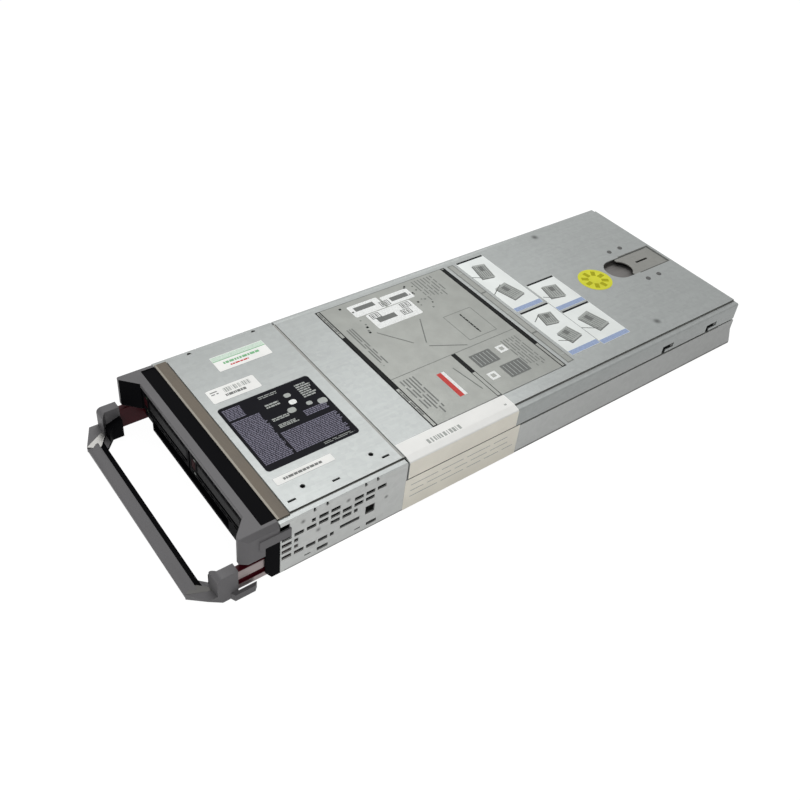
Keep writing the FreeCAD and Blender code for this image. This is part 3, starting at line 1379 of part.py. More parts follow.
def power_connector():
    tall = (BOARD_TOP, f"{BOARD_TOP} + feed_tall")
    shell = block(around("0", "feed_wide"), span(TAIL_FRONT, TRAY_REAR), tall)
    slot_z = around(f"{BOARD_TOP} + feed_tall / 2", "feed_slot_tall")
    count = int(size("feed_wide") // size("feed_pitch"))
    tools = []
    for step in range(count):
        middle = f"({step} - {(count - 1) / 2}) * feed_pitch"
        tools.append(block(around(middle, "feed_slot"), CONTACT_Y, slot_z))
    return part(cut(shell, tools), "power_connector")


def guide_bushes():
    bushes = []
    for sign in ("-", ""):
        x = f"{sign}{BUSH_X}"
        z = f"({BOARD_TOP} + bush_wide / 2)"
        tall = (BOARD_TOP, f"{BOARD_TOP} + bush_wide")
        shell = block(around(x, "bush_wide"), span(TAIL_FRONT, TRAY_REAR), tall)
        bore = rod("y", "bush_r", (x, along(f"{TRAY_REAR} - bush_deep"), z), "bush_deep + sheet")
        bushes.append(cut(shell, [bore]))
    return part(group(bushes), "guide_bushes")


SIDES = (("-", "left"), ("", "right"))

chassis_tray()
front_plate()
gasket_strip()
top_cover()
cover_studs()
latch_housing()
cover_latch()
latch_rivets()
front_frame()
bezel()
vent_screen()
usb_ports()
power_button()
control_board()
handle()
handle_insert()
drive_cage()
drive_backplane()
drive_connectors()
system_board()
board_standoffs()
board_screws()
chipset_heatsink()
storage_controller()
coin_cell()
mezzanine_connectors()
power_connector()
guide_bushes()
for turn, name in SIDES:
    handle_rail(turn, f"handle_rail_{name}")
    drive_carrier(turn, f"drive_carrier_{name}")
    drive_lever(turn, f"drive_lever_{name}")
    drive_button(turn, f"drive_button_{name}")
    hard_drive(turn, f"hard_drive_{name}")
    processor(turn, name)
    heatsink(turn, f"heatsink_{name}")
    memory_sockets(turn, f"memory_sockets_{name}")
    for slot in range(MODULES_PER_SIDE):
        memory_module(turn, slot, f"memory_module_{name}_{slot + 1}")
    mezzanine_card(turn, f"mezzanine_card_{name}")
    midplane_connector(turn, f"midplane_connector_{name}")

doc.recompute()
for item in doc.Objects:
    if "Invalid" in item.State or "Error" in item.State:
        raise RuntimeError(f"{item.Name} did not build: {item.State}")
for item in parts:
    if item.Shape.isNull() or not item.Shape.isValid():
        raise RuntimeError(f"{item.Label} has no valid shape")

os.makedirs("parts", exist_ok=True)
for item in parts:
    item.Shape.exportStep(f"parts/{item.Label}.step")
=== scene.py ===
import json
import math
import random

import bmesh
import bpy
from mathutils import Matrix, Vector


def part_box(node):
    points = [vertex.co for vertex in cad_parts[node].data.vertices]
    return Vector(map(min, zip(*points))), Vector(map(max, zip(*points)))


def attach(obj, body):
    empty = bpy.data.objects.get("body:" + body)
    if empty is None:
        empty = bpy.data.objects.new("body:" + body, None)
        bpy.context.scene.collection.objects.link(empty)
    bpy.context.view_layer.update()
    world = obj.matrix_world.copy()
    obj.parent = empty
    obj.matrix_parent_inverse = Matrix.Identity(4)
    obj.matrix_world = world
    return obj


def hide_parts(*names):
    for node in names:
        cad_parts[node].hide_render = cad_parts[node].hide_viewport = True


# Blade server: finishes, soft edges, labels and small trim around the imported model. Metres, Z up.

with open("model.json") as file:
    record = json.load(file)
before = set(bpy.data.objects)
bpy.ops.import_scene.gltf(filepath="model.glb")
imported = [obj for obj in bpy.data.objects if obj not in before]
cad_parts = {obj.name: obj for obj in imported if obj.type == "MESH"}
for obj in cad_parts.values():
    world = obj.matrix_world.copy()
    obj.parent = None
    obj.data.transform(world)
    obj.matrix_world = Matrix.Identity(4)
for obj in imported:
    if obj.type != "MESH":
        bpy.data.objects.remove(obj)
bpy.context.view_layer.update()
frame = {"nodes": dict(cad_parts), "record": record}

scene = bpy.context.scene
scene.view_settings.view_transform = "Standard"

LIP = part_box("chassis_tray")[0].y
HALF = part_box("chassis_tray")[1].x
PLATE_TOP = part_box("front_plate")[1].z
COVER_LOW, COVER_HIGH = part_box("top_cover")
PAPER = 0.00012
INK = 0.00003
SINK = 0.00002
RAMP_START = 0.3
RAMP_END = 0.7


# Node helpers for the finishes


def new_finish(name, colour, metallic, roughness, specular=0.5):
    """Material with a principled shader; gives the material, its tree and the shader."""
    finish = bpy.data.materials.new(name)
    finish.use_nodes = True
    tree = finish.node_tree
    shader = tree.nodes["Principled BSDF"]
    shader.inputs["Base Color"].default_value = (*colour, 1.0)
    shader.inputs["Metallic"].default_value = metallic
    shader.inputs["Roughness"].default_value = roughness
    shader.inputs["Specular IOR Level"].default_value = specular
    return finish, tree, shader


def feed(tree, socket, value):
    """Sets an input to a value, or links it to another node's output."""
    if isinstance(value, bpy.types.NodeSocket):
        tree.links.new(value, socket)
    else:
        socket.default_value = value


def add_node(tree, kind, inputs=None):
    """New shader node with some of its inputs fed."""
    node = tree.nodes.new("ShaderNode" + kind)
    for name, value in (inputs or {}).items():
        feed(tree, node.inputs[name], value)
    return node


def object_space(tree, stretch=(1.0, 1.0, 1.0)):
    """Coordinates of the piece itself, stretched."""
    where = add_node(tree, "TexCoord").outputs["Object"]
    return add_node(tree, "Mapping", {"Scale": stretch, "Vector": where}).outputs["Vector"]


def noise(tree, scale, detail=3.0, stretch=(1.0, 1.0, 1.0)):
    """Cloudy grey value."""
    where = object_space(tree, stretch)
    return add_node(tree, "TexNoise", {"Scale": scale, "Detail": detail, "Vector": where}).outputs[0]


def crystals(tree, scale):
    """Grey value of each cell of a cracked pattern, as on zinc coating."""
    cells = add_node(tree, "TexVoronoi", {"Scale": scale, "Vector": object_space(tree)})
    return add_node(tree, "RGBToBW", {"Color": cells.outputs["Color"]}).outputs["Val"]


def bands(tree, scale, direction, distortion):
    """Grey value of wavering bands across one axis."""
    where = object_space(tree)
    texture = add_node(tree, "TexWave", {"Scale": scale, "Distortion": distortion, "Vector": where})
    texture.wave_type = "BANDS"
    texture.bands_direction = direction
    return texture.outputs[1]


def combine(tree, how, *values):
    """Grey values joined by one math step."""
    joint = add_node(tree, "Math")
    joint.operation = how
    for socket, value in zip(joint.inputs, values):
        feed(tree, socket, value)
    return joint.outputs[0]


def colour_by(tree, shader, factor, colour, dark, pale, start=RAMP_START, end=RAMP_END):
    """Base colour between a dark and a pale share of a colour, by a grey value."""
    ramp = add_node(tree, "ValToRGB", {"Fac": factor})
    first, last = ramp.color_ramp.elements
    first.position = start
    last.position = end
    first.color = (*(dark * value for value in colour), 1.0)
    last.color = (*(pale * value for value in colour), 1.0)
    feed(tree, shader.inputs["Base Color"], ramp.outputs["Color"])


def map_range(tree, value, source, target):
    """Node that carries a value from one range to another."""
    inputs = {"Value": value, "From Min": source[0], "From Max": source[1]}
    return add_node(tree, "MapRange", {**inputs, "To Min": target[0], "To Max": target[1]})


def rough_by(tree, shader, factor, smooth, rough):
    """Roughness between two values, by a grey value."""
    spread = map_range(tree, factor, (RAMP_START, RAMP_END), (smooth, rough))
    feed(tree, shader.inputs["Roughness"], spread.outputs["Result"])


def bump_by(tree, shader, height, strength, distance):
    """Fine relief, by a grey value."""
    bump = add_node(tree, "Bump", {"Strength": strength, "Distance": distance, "Height": height})
    feed(tree, shader.inputs["Normal"], bump.outputs["Normal"])


def scale_colour(tree, shader, factor):
    """Base colour times a grey value."""
    colour = shader.inputs["Base Color"]
    scaled = add_node(tree, "VectorMath")
    scaled.operation = "SCALE"
    feed(tree, scaled.inputs[0], colour.links[0].from_socket)
    feed(tree, scaled.inputs["Scale"], factor)
    feed(tree, colour, scaled.outputs["Vector"])


# Finishes


def zinc_sheet(name, colour, metallic=0.5):
    """Zinc-coated sheet: faint crystals, rolling streaks along Y and smudges in the gloss."""
    finish, tree, shader = new_finish(name, colour, metallic, 0.4, 0.3)
    spangle = crystals(tree, 300.0)
    cloud = noise(tree, 9.0)
    streak = noise(tree, 90.0, 2.0, (6.0, 0.2, 1.0))
    mixed = combine(tree, "MULTIPLY_ADD", spangle, 0.3, combine(tree, "MULTIPLY", cloud, 0.3))
    whole = combine(tree, "MULTIPLY_ADD", streak, 0.4, mixed)
    colour_by(tree, shader, whole, colour, 0.93, 1.06)
    rough_by(tree, shader, cloud, 0.36, 0.43)
    bump_by(tree, shader, noise(tree, 1500.0, 2.0), 0.04, 0.0001)
    return finish


def painted_hollow_shade(name, colour):
    """Painted shade of a shallow stamped hollow: the same sheet on a flat disc, darker towards the middle
    of the piece's own map.
    """
    darkest = 0.3
    finish = zinc_sheet(name, colour)
    tree = finish.node_tree
    shader = tree.nodes["Principled BSDF"]
    reach = add_node(tree, "VectorMath")
    reach.operation = "LENGTH"
    feed(tree, reach.inputs[0], add_node(tree, "UVMap").outputs["UV"])
    fade = map_range(tree, reach.outputs["Value"], (0.0, 1.0), (darkest, 1.0))
    fade.interpolation_type = "SMOOTHSTEP"
    scale_colour(tree, shader, fade.outputs["Result"])
    return finish


def shaded_to_rear(finish, share):
    """Painted shade: the same finish, with its colour fading to a share of itself towards the rear."""
    tree = finish.node_tree
    shader = tree.nodes["Principled BSDF"]
    split = add_node(tree, "SeparateXYZ", {"Vector": object_space(tree)})
    fade = map_range(tree, split.outputs["Y"], (LIP, COVER_HIGH.y), (1.0, share))
    scale_colour(tree, shader, fade.outputs["Result"])
    return finish


def machined(name, colour, roughness):
    """Plated or extruded metal with fine draw lines along Y."""
    finish, tree, shader = new_finish(name, colour, 1.0, roughness)
    lines = noise(tree, 900.0, 3.0, (1.0, 0.03, 1.0))
    colour_by(tree, shader, lines, colour, 0.82, 1.08)
    rough_by(tree, shader, lines, roughness - 0.06, roughness + 0.08)
    bump_by(tree, shader, lines, 0.06, 0.00008)
    return finish


def polished(name, colour, roughness):
    """Smooth plated metal with faint clouds."""
    finish, tree, shader = new_finish(name, colour, 1.0, roughness)
    cloud = noise(tree, 25.0, 2.0)
    colour_by(tree, shader, cloud, colour, 0.96, 1.03)
    rough_by(tree, shader, cloud, roughness - 0.02, roughness + 0.03)
    return finish


def cast_metal(name, colour):
    """Cast metal with a coarse grain."""
    finish, tree, shader = new_finish(name, colour, 0.9, 0.5)
    grain = noise(tree, 1100.0, 4.0)
    colour_by(tree, shader, noise(tree, 60.0), colour, 0.95, 1.04)
    rough_by(tree, shader, grain, 0.42, 0.58)
    bump_by(tree, shader, grain, 0.25, 0.00015)
    return finish


def moulded(name, colour, roughness, grain_strength=0.22, specular=0.3):
    """Moulded plastic: fine spark texture and faint flow clouds."""
    finish, tree, shader = new_finish(name, colour, 0.0, roughness, specular)
    grain = noise(tree, 2600.0, 2.0)
    cloud = noise(tree, 22.0, 5.0)
    colour_by(tree, shader, cloud, colour, 0.9, 1.1)
    rough_by(tree, shader, cloud, roughness - 0.05, roughness + 0.07)
    bump_by(tree, shader, grain, grain_strength, 0.00012)
    return finish


def powder_coat(name, colour):
    """Coat with a fine orange-peel relief."""
    finish, tree, shader = new_finish(name, colour, 0.0, 0.45, 0.04)
    peel = noise(tree, 900.0, 2.0)
    colour_by(tree, shader, peel, colour, 0.8, 1.3)
    rough_by(tree, shader, peel, 0.38, 0.52)
    bump_by(tree, shader, peel, 0.3, 0.0002)
    return finish


def woven_cloth(name, colour):
    """Metallised cloth: crossing threads with worn, paler patches."""
    finish, tree, shader = new_finish(name, colour, 0.2, 0.55, 0.3)
    weave = combine(tree, "MULTIPLY", bands(tree, 420.0, "X", 0.6), bands(tree, 420.0, "Y", 0.6))
    wear = noise(tree, 40.0, 5.0)
    mixed = combine(tree, "MULTIPLY_ADD", weave, 0.35, combine(tree, "MULTIPLY", wear, 0.8))
    colour_by(tree, shader, mixed, colour, 0.72, 1.22, end=0.75)
    rough_by(tree, shader, wear, 0.45, 0.62)
    bump_by(tree, shader, weave, 0.35, 0.0001)
    return finish


def paper(name, colour):
    """Paper with fibres and faint stains."""
    finish, tree, shader = new_finish(name, colour, 0.0, 0.6, 0.3)
    fibre = noise(tree, 1800.0, 4.0, (1.0, 0.4, 1.0))
    stain = noise(tree, 45.0, 4.0)
    colour_by(tree, shader, stain, colour, 0.93, 1.02)
    rough_by(tree, shader, fibre, 0.52, 0.68)
    bump_by(tree, shader, fibre, 0.12, 0.00005)
    return finish


def label_film(name, colour, metallic=0.0, specular=0.3):
    """Smooth label film with slight ripple."""
    finish, tree, shader = new_finish(name, colour, metallic, 0.36, specular)
    ripple = noise(tree, 70.0, 2.0)
    colour_by(tree, shader, ripple, colour, 0.93, 1.05)
    rough_by(tree, shader, noise(tree, 600.0), 0.3, 0.44)
    bump_by(tree, shader, ripple, 0.08, 0.0002)
    return finish


def printed(name, colour):
    """Ink with the uneven cover of a label print."""
    finish, tree, shader = new_finish(name, colour, 0.0, 0.5, 0.08)
    cover = noise(tree, 1400.0, 2.0)
    colour_by(tree, shader, cover, colour, 0.82, 1.16)
    rough_by(tree, shader, cover, 0.42, 0.58)
    return finish


def solder_mask(name, colour):
    """Green board: copper tracks show through the mask as paler lines."""
    finish, tree, shader = new_finish(name, colour, 0.0, 0.35)
    tracks = combine(tree, "MULTIPLY", bands(tree, 190.0, "X", 2.2), bands(tree, 120.0, "Y", 3.0))
    colour_by(tree, shader, tracks, colour, 0.7, 1.5, 0.45, 0.6)
    rough_by(tree, shader, noise(tree, 300.0), 0.3, 0.42)
    bump_by(tree, shader, tracks, 0.2, 0.00004)
    return finish


STEEL = zinc_sheet("galvanised_sheet", (0.322, 0.338, 0.332))
# Painted light and shade: the tray's sides and bends get a paler copy of the cover's zinc sheet, fading
# darker towards the rear
TRAY_LIGHT_AND_SHADE = shaded_to_rear(zinc_sheet("galvanised_tray_painted_light_and_shade", (0.516, 0.528, 0.516)), 0.58)
DULL_STEEL = zinc_sheet("galvanised_latch", (0.246, 0.246, 0.228), 0.35)
# Painted shade of stamped hollows, on flat discs
COVER_HOLLOW_SHADE = painted_hollow_shade("galvanised_painted_hollow_shade", (0.322, 0.338, 0.332))
SIDE_HOLLOW_SHADE = painted_hollow_shade("galvanised_side_painted_hollow_shade", (0.504, 0.516, 0.504))
# Painted shade: dark finish for thin strips on risers, at the feet of ledges, under the open seam, above
# the lower bends and round the latch window
EDGE_SHADE = machined("edge_painted_shade", (0.115, 0.115, 0.108), 0.6)
# Painted shade: mid-grey for the gap between the front plate and the cover
SEAM_GAP_SHADE = machined("seam_gap_painted_shade", (0.218, 0.218, 0.207), 0.55)
# Painted shade: the latch pan is darkened to stand for the shadow in its finger well
LATCH_PAN_SHADE = machined("latch_pan_painted_shade", (0.161, 0.155, 0.149), 0.5)
BRIGHT = machined("plated_steel", (0.62, 0.62, 0.61), 0.3)
DARK_PLATE = machined("dark_plated_steel", (0.103, 0.103, 0.101), 0.5)
LIP_STEEL = machined("lip_steel", (0.184, 0.172, 0.149), 0.55)
BLACK_COAT = powder_coat("black_coat", (0.0033, 0.0033, 0.0037))
CLOTH = woven_cloth("gasket_cloth", (0.123, 0.104, 0.08))
BLACK = moulded("black_moulding", (0.0033, 0.0033, 0.004), 0.6, 0.22, 0.02)
GREY = moulded("grey_moulding", (0.112, 0.109, 0.113), 0.45, 0.14, 0.25)
SOOT = moulded("dark_grey_moulding", (0.012, 0.012, 0.0127), 0.55, 0.22, 0.08)
MAROON = moulded("dark_red_moulding", (0.048, 0.0013, 0.0053), 0.34, 0.05, 0.12)
DEEP_MAROON = moulded("deep_red_moulding", (0.0187, 0.0013, 0.0027), 0.6, 0.1, 0.04)
RIB_PLATE = machined("rail_plating", (0.30, 0.255, 0.25), 0.42)
PAD_PLATE = polished("corner_pad", (0.132, 0.13, 0.125), 0.34)
GREEN = solder_mask("green_mask", (0.02, 0.127, 0.0667))
BRASS = machined("turned_brass", (0.62, 0.44, 0.18), 0.3)
GOLD = machined("gold_contact", (0.80, 0.56, 0.22), 0.25)
ALUMINIUM = machined("extruded_aluminium", (0.66, 0.66, 0.67), 0.36)
SPREADER = machined("stamped_spreader", (0.42, 0.43, 0.45), 0.38)
NICKEL = machined("nickel_plate", (0.62, 0.60, 0.56), 0.28)
CASTING = cast_metal("drive_casting", (0.42, 0.43, 0.44))
WHITE_PAPER = paper("white_paper", (0.88, 0.88, 0.855))
PANEL_PAPER = paper("panel_paper", (0.827, 0.86, 0.84))
CREAM_PAPER = paper("cream_paper", (0.88, 0.847, 0.747))
SILVER_FILM = label_film("silver_film", (0.301, 0.311, 0.289), 0.2)
BLACK_FILM = label_film("black_film", (0.004, 0.004, 0.0067), 0.0, 0.04)
YELLOW_FILM = label_film("yellow_film", (0.666, 0.666, 0.0133))
INK_BLACK = printed("black_ink", (0.008, 0.0087, 0.0087))
INK_GREY = printed("grey_ink", (0.173, 0.18, 0.173))
INK_PALE = printed("pale_grey_ink", (0.4, 0.42, 0.4))
INK_SLATE = printed("slate_ink", (0.2, 0.193, 0.253))
INK_WHITE = printed("white_ink", (0.827, 0.84, 0.827))
INK_RED = printed("red_ink", (0.56, 0.0667, 0.06))
INK_GREEN = printed("green_ink", (0.213, 0.48, 0.253))
INK_MINT = printed("mint_ink", (0.62, 0.74, 0.64))
INK_BLUE = printed("blue_ink", (0.333, 0.413, 0.6))
INK_OLIVE = printed("olive_ink", (0.4, 0.387, 0.0107))
LENS = moulded("smoked_lens", (0.0267, 0.04, 0.024), 0.22, 0.02)

CAD_FINISH = {
    "galvanised_steel": STEEL,
    "bright_steel": BRIGHT,
    "black_steel": BLACK_COAT,
    "gasket_fabric": CLOTH,
    "black_plastic": BLACK,
    "grey_plastic": GREY,
    "maroon_plastic": MAROON,
    "green_board": GREEN,
    "brass": BRASS,
    "aluminium_fin": ALUMINIUM,
    "memory_spreader": SPREADER,
    "nickel": NICKEL,
    "drive_casting": CASTING,
}
SLOT_OF = {}
for row in frame["record"]["subparts"]:
    SLOT_OF[row["node"]] = row["material_slot"]
BODY_OF = {}
for body_name, members in frame["record"]["behaviour"]["bodies"].items():
    for member in members:
        BODY_OF[member] = body_name

OWN_FINISH = {
    # The tray's finish holds painted light on its sides and painted shade towards the rear
    "chassis_tray": TRAY_LIGHT_AND_SHADE,
    "cover_latch": DULL_STEEL,
    # The latch housing's dark colour is painted shade for its finger well
    "latch_housing": LATCH_PAN_SHADE,
    "cover_studs": DARK_PLATE,
    "latch_rivets": DARK_PLATE,
    "drive_cage": BLACK_COAT,
    "drive_lever_left": SOOT,
    "drive_lever_right": SOOT,
    "drive_button_left": DEEP_MAROON,
    "drive_button_right": DEEP_MAROON,
    "power_button": SOOT,
}


def finish_of(node):
    """Finish of a CAD node: its own one, or else the one of its slot."""
    return OWN_FINISH.get(node, CAD_FINISH[SLOT_OF[node]])


def dress(node):
    """Gives a CAD node its finish."""
    slots = frame["nodes"][node].data.materials
    slots.clear()
    slots.append(finish_of(node))


# Mesh helpers


def mesh_from(shape, name):
    """Mesh made from a bmesh, which is freed."""
    mesh = bpy.data.meshes.new(name)
    shape.to_mesh(mesh)
    shape.free()
    return mesh


def add_object(name, data):
    """Object in the scene, at the origin."""
    made = bpy.data.objects.new(name, data)
    scene.collection.objects.link(made)
    return made


def finished(name, shape, finishes, body):
    """Object from a bmesh, riding on a body."""
    bmesh.ops.recalc_face_normals(shape, faces=shape.faces)
    made = add_object(name, mesh_from(shape, name))
    for finish in finishes:
        made.data.materials.append(finish)
    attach(made, body)
    return made


def smooth_by_angle(mesh, angle):
    """Smooth shading, with sharp edges above an angle."""
    for face in mesh.polygons:
        face.use_smooth = True
    mesh.set_sharp_from_angle(angle=angle)


SHARP = math.radians(32.0)
FLAT = math.radians(1.0)
WELD = 1e-6
ROUND_STEPS = 2
CORNER_STEPS = 5


def merged_copy(node, trim=None):
    """Copy of a CAD node's mesh, with its doubled points merged and its flat faces joined."""
    shape = bmesh.new()
    shape.from_mesh(frame["nodes"][node].data)
    bmesh.ops.remove_doubles(shape, verts=shape.verts, dist=WELD)
    if trim:
        trim(shape)
    bmesh.ops.dissolve_limit(shape, angle_limit=FLAT, verts=shape.verts, edges=shape.edges)
    return shape


def softened(node, width, second=None, chosen=None, trim=None):
    """Copy of a CAD node with rounded edges, which stands for it; chosen faces get a second finish."""
    mesh = mesh_from(merged_copy(node, trim), node + "_soft")
    mesh.materials.append(finish_of(node))
    if second:
        mesh.materials.append(second)
    for face in mesh.polygons:
        face.material_index = 1 if chosen and chosen(face) else 0
    smooth_by_angle(mesh, SHARP)
    made = add_object(node + "_soft", mesh)
    rounded = made.modifiers.new("rounded", "BEVEL")
    rounded.width = width
    rounded.segments = ROUND_STEPS
    rounded.limit_method = "ANGLE"
    rounded.angle_limit = SHARP
    rounded.harden_normals = True
    rounded.use_clamp_overlap = True
    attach(made, BODY_OF[node])
    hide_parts(node)


def add_block(shape, place, finish):
    """Unit cube, placed and stretched by a matrix."""
    made = bmesh.ops.create_cube(shape, size=1.0, matrix=place)
    for vert in made["verts"]:
        for face in vert.link_faces:
            face.material_index = finish


def add_bar(shape, low, high, finish=0):
    """Closed block between two corners."""
    low, high = Vector(low), Vector(high)
    size = high - low
    add_block(shape, Matrix.Translation((low + high) / 2) @ Matrix.Diagonal((*size, 1.0)), finish)


def add_sheet(shape, area, base, thick, corner, finish=0):
    """Thin sheet with rounded corners; area is its X and Y span."""
    x0, y0, x1, y1 = area
    before = set(shape.faces)
    corners = [shape.verts.new((x, y, base)) for x, y in ((x0, y0), (x1, y0), (x1, y1), (x0, y1))]
    shape.faces.new(corners)
    bmesh.ops.bevel(shape, geom=corners, offset=corner, segments=CORNER_STEPS, profile=0.5,
                    affect="VERTICES", material=-1)
    sheet = [face for face in shape.faces if face not in before]
    grown = bmesh.ops.extrude_face_region(shape, geom=sheet)
    top = [item for item in grown["geom"] if isinstance(item, bmesh.types.BMVert)]
    bmesh.ops.translate(shape, vec=(0.0, 0.0, thick), verts=top)
    for face in shape.faces:
        if face not in before:
            face.material_index = finish


class Label:
    """Sheet on a level top face, with flat ink marks; places are X from the middle and Y from the lip."""

    def __init__(self, area, level, corner, finishes):
        self.shape = bmesh.new()
        self.level = level + PAPER
        self.finishes = finishes
        add_sheet(self.shape, self.placed(area), level - SINK, PAPER + SINK, corner)

    @staticmethod
    def placed(area):
        """The area in the shared frame."""
        x0, y0, x1, y1 = area
        return (x0, LIP + y0, x1, LIP + y1)

    def mark(self, area, ink, lift=INK):
        """Flat printed bar."""
        x0, y0, x1, y1 = self.placed(area)
        base = self.level - SINK
        add_bar(self.shape, (x0, y0, base), (x1, y1, self.level + lift), self.finishes.index(ink))

    def patch(self, area, ink, corner):
        """Printed area with rounded corners."""
        finish = self.finishes.index(ink)
        add_sheet(self.shape, self.placed(area), self.level - SINK, INK / 2 + SINK, corner, finish)

    def tilted(self, centre, size, angle, ink, lift=INK):
        """Mark turned by an angle in degrees about its centre."""
        turn = Matrix.Rotation(math.radians(angle), 4, "Z")
        stretch = Matrix.Diagonal((*size, lift + SINK, 1.0))
        middle = Vector((centre[0], LIP + centre[1], self.level + (lift - SINK) / 2))
        place = Matrix.Translation(middle) @ turn @ stretch
        add_block(self.shape, place, self.finishes.index(ink))

    def frame_lines(self, area, wide, ink):
        """Four lines round an area."""
        x0, y0, x1, y1 = area
        self.mark((x0, y0, x1, y0 + wide), ink)
        self.mark((x0, y1 - wide, x1, y1), ink)
        self.mark((x0, y0 + wide, x0 + wide, y1 - wide), ink)
        self.mark((x1 - wide, y0 + wide, x1, y1 - wide), ink)

    def dashes(self, area, rows, seed, ink, across=False, fill=0.5, longest=0.011, ragged=0.25):
        """Rows of uneven short bars that stand for small print."""
        space, shortest = 0.12 * longest, 0.2
        draw = random.Random(seed)
        x0, y0, x1, y1 = area
        near, far = (x0, x1) if across else (y0, y1)
        side, end = (y0, y1) if across else (x0, x1)
        pitch = (end - side) / rows
        for row in range(rows):
            level = side + pitch * (row + 0.5 - fill / 2)
            start = near
            stop = far - draw.random() * ragged * (far - near)
            while start < stop:
                reach = min(start + draw.uniform(shortest, 1.0) * longest, stop)
                if across:
                    self.mark((start, level, reach, level + pitch * fill), ink)
                else:
                    self.mark((level, start, level + pitch * fill, reach), ink)
                start = reach + space

    def stripes(self, area, seed, ink, thin=0.0003, thick=0.0011):
        """Upright stripes of uneven width along Y."""
        draw = random.Random(seed)
        x0, y0, x1, y1 = area
        start = y0
        while start < y1:
            wide = draw.choice((thin, 2 * thin, thick))
            self.mark((x0, start, x1, min(start + wide, y1)), ink)
            start += wide + draw.choice((thin, 2 * thin, thick))

    def done(self, name, body):
        """The label as a piece that rides on a body."""
        finished(name, self.shape, self.finishes, body)


# Labels on the front plate


def rating_label():
    """Black film with dense slate print around a field of pale signs."""
    area = (-0.0215, 0.016, 0.051, 0.093)
    label = Label(area, PLATE_TOP, 0.0028, [BLACK_FILM, INK_SLATE, INK_WHITE, INK_PALE])
    small = {"fill": 0.6, "longest": 0.0036, "ragged": 0.08}
    label.dashes((-0.0185, 0.0185, -0.0060, 0.0330), 8, 3, INK_SLATE, **small)
    label.dashes((-0.0040, 0.0185, 0.0450, 0.0420), 30, 5, INK_SLATE, **small)
    label.dashes((0.0225, 0.0432, 0.0450, 0.0905), 14, 8, INK_SLATE, **small)
    label.dashes((0.0462, 0.0640, 0.0490, 0.0900), 2, 9, INK_PALE, fill=0.3, longest=0.012)
    label.dashes((0.0070, 0.0450, 0.0105, 0.0610), 2, 11, INK_PALE, fill=0.62, longest=0.005)
    label.dashes((0.0145, 0.0460, 0.0185, 0.0625), 3, 12, INK_PALE, fill=0.62, longest=0.004)
    label.dashes((-0.0085, 0.0480, -0.0035, 0.0600), 2, 13, INK_PALE, fill=0.6, longest=0.004)
    label.dashes((-0.0185, 0.0480, -0.0150, 0.0640), 2, 14, INK_PALE, fill=0.4, longest=0.006)
    label.dashes((-0.0165, 0.0780, 0.0000, 0.0900), 7, 15, INK_PALE, fill=0.6, longest=0.004)
    label.dashes((0.0110, 0.0690, 0.0175, 0.0890), 4, 16, INK_SLATE, **small)
    signs = ((-0.0115, 0.0655, 0.0045, INK_PALE), (-0.0035, 0.0650, 0.0050, INK_WHITE),
             (0.0035, 0.0595, 0.0055, INK_PALE), (0.0042, 0.0755, 0.0040, INK_PALE),
             (0.0060, 0.0840, 0.0062, INK_PALE))
    for x, y, wide, ink in signs:
        tall, corner = 1.2 * wide, 0.4 * wide
        label.patch((x, y, x + wide, y + tall), ink, corner)
    label.done("rating_label", "chassis")


def stripe_label():
    """White paper with pale stripes."""
    label = Label((-0.043, 0.018, -0.028, 0.058), PLATE_TOP, 0.0014, [WHITE_PAPER, INK_GREY, INK_PALE])
    label.stripes((-0.0405, 0.031, -0.0355, 0.053), 21, INK_PALE)
    label.dashes((-0.0342, 0.030, -0.0308, 0.052), 1, 22, INK_GREY, fill=0.75, longest=0.0034)
    label.dashes((-0.041, 0.0205, -0.036, 0.028), 2, 23, INK_GREY, fill=0.4)
    label.done("stripe_label", "chassis")


def asset_label():
    """White paper with a mint band and two lines of print."""
    finishes = [WHITE_PAPER, INK_GREEN, INK_MINT, INK_RED]
    label = Label((-0.076, 0.039, -0.058, 0.085), PLATE_TOP, 0.0008, finishes)
    label.mark((-0.0755, 0.0393, -0.0705, 0.0847), INK_MINT)
    label.mark((-0.0705, 0.0393, -0.0698, 0.0847), INK_GREEN)
    label.dashes((-0.0675, 0.046, -0.0642, 0.077), 1, 31, INK_GREEN, fill=0.75, longest=0.005)
    label.dashes((-0.0630, 0.050, -0.0605, 0.066), 1, 32, INK_RED, fill=0.6, longest=0.004)
    label.done("asset_label", "chassis")


def strip_label():
    """Narrow white paper with one line of print."""
    label = Label((0.058, 0.0155, 0.0648, 0.062), PLATE_TOP, 0.0006, [WHITE_PAPER, INK_GREY])
    label.dashes((0.0600, 0.022, 0.0630, 0.056), 1, 41, INK_GREY, fill=0.7, longest=0.0042)
    label.done("strip_label", "chassis")


# Labels on the cover


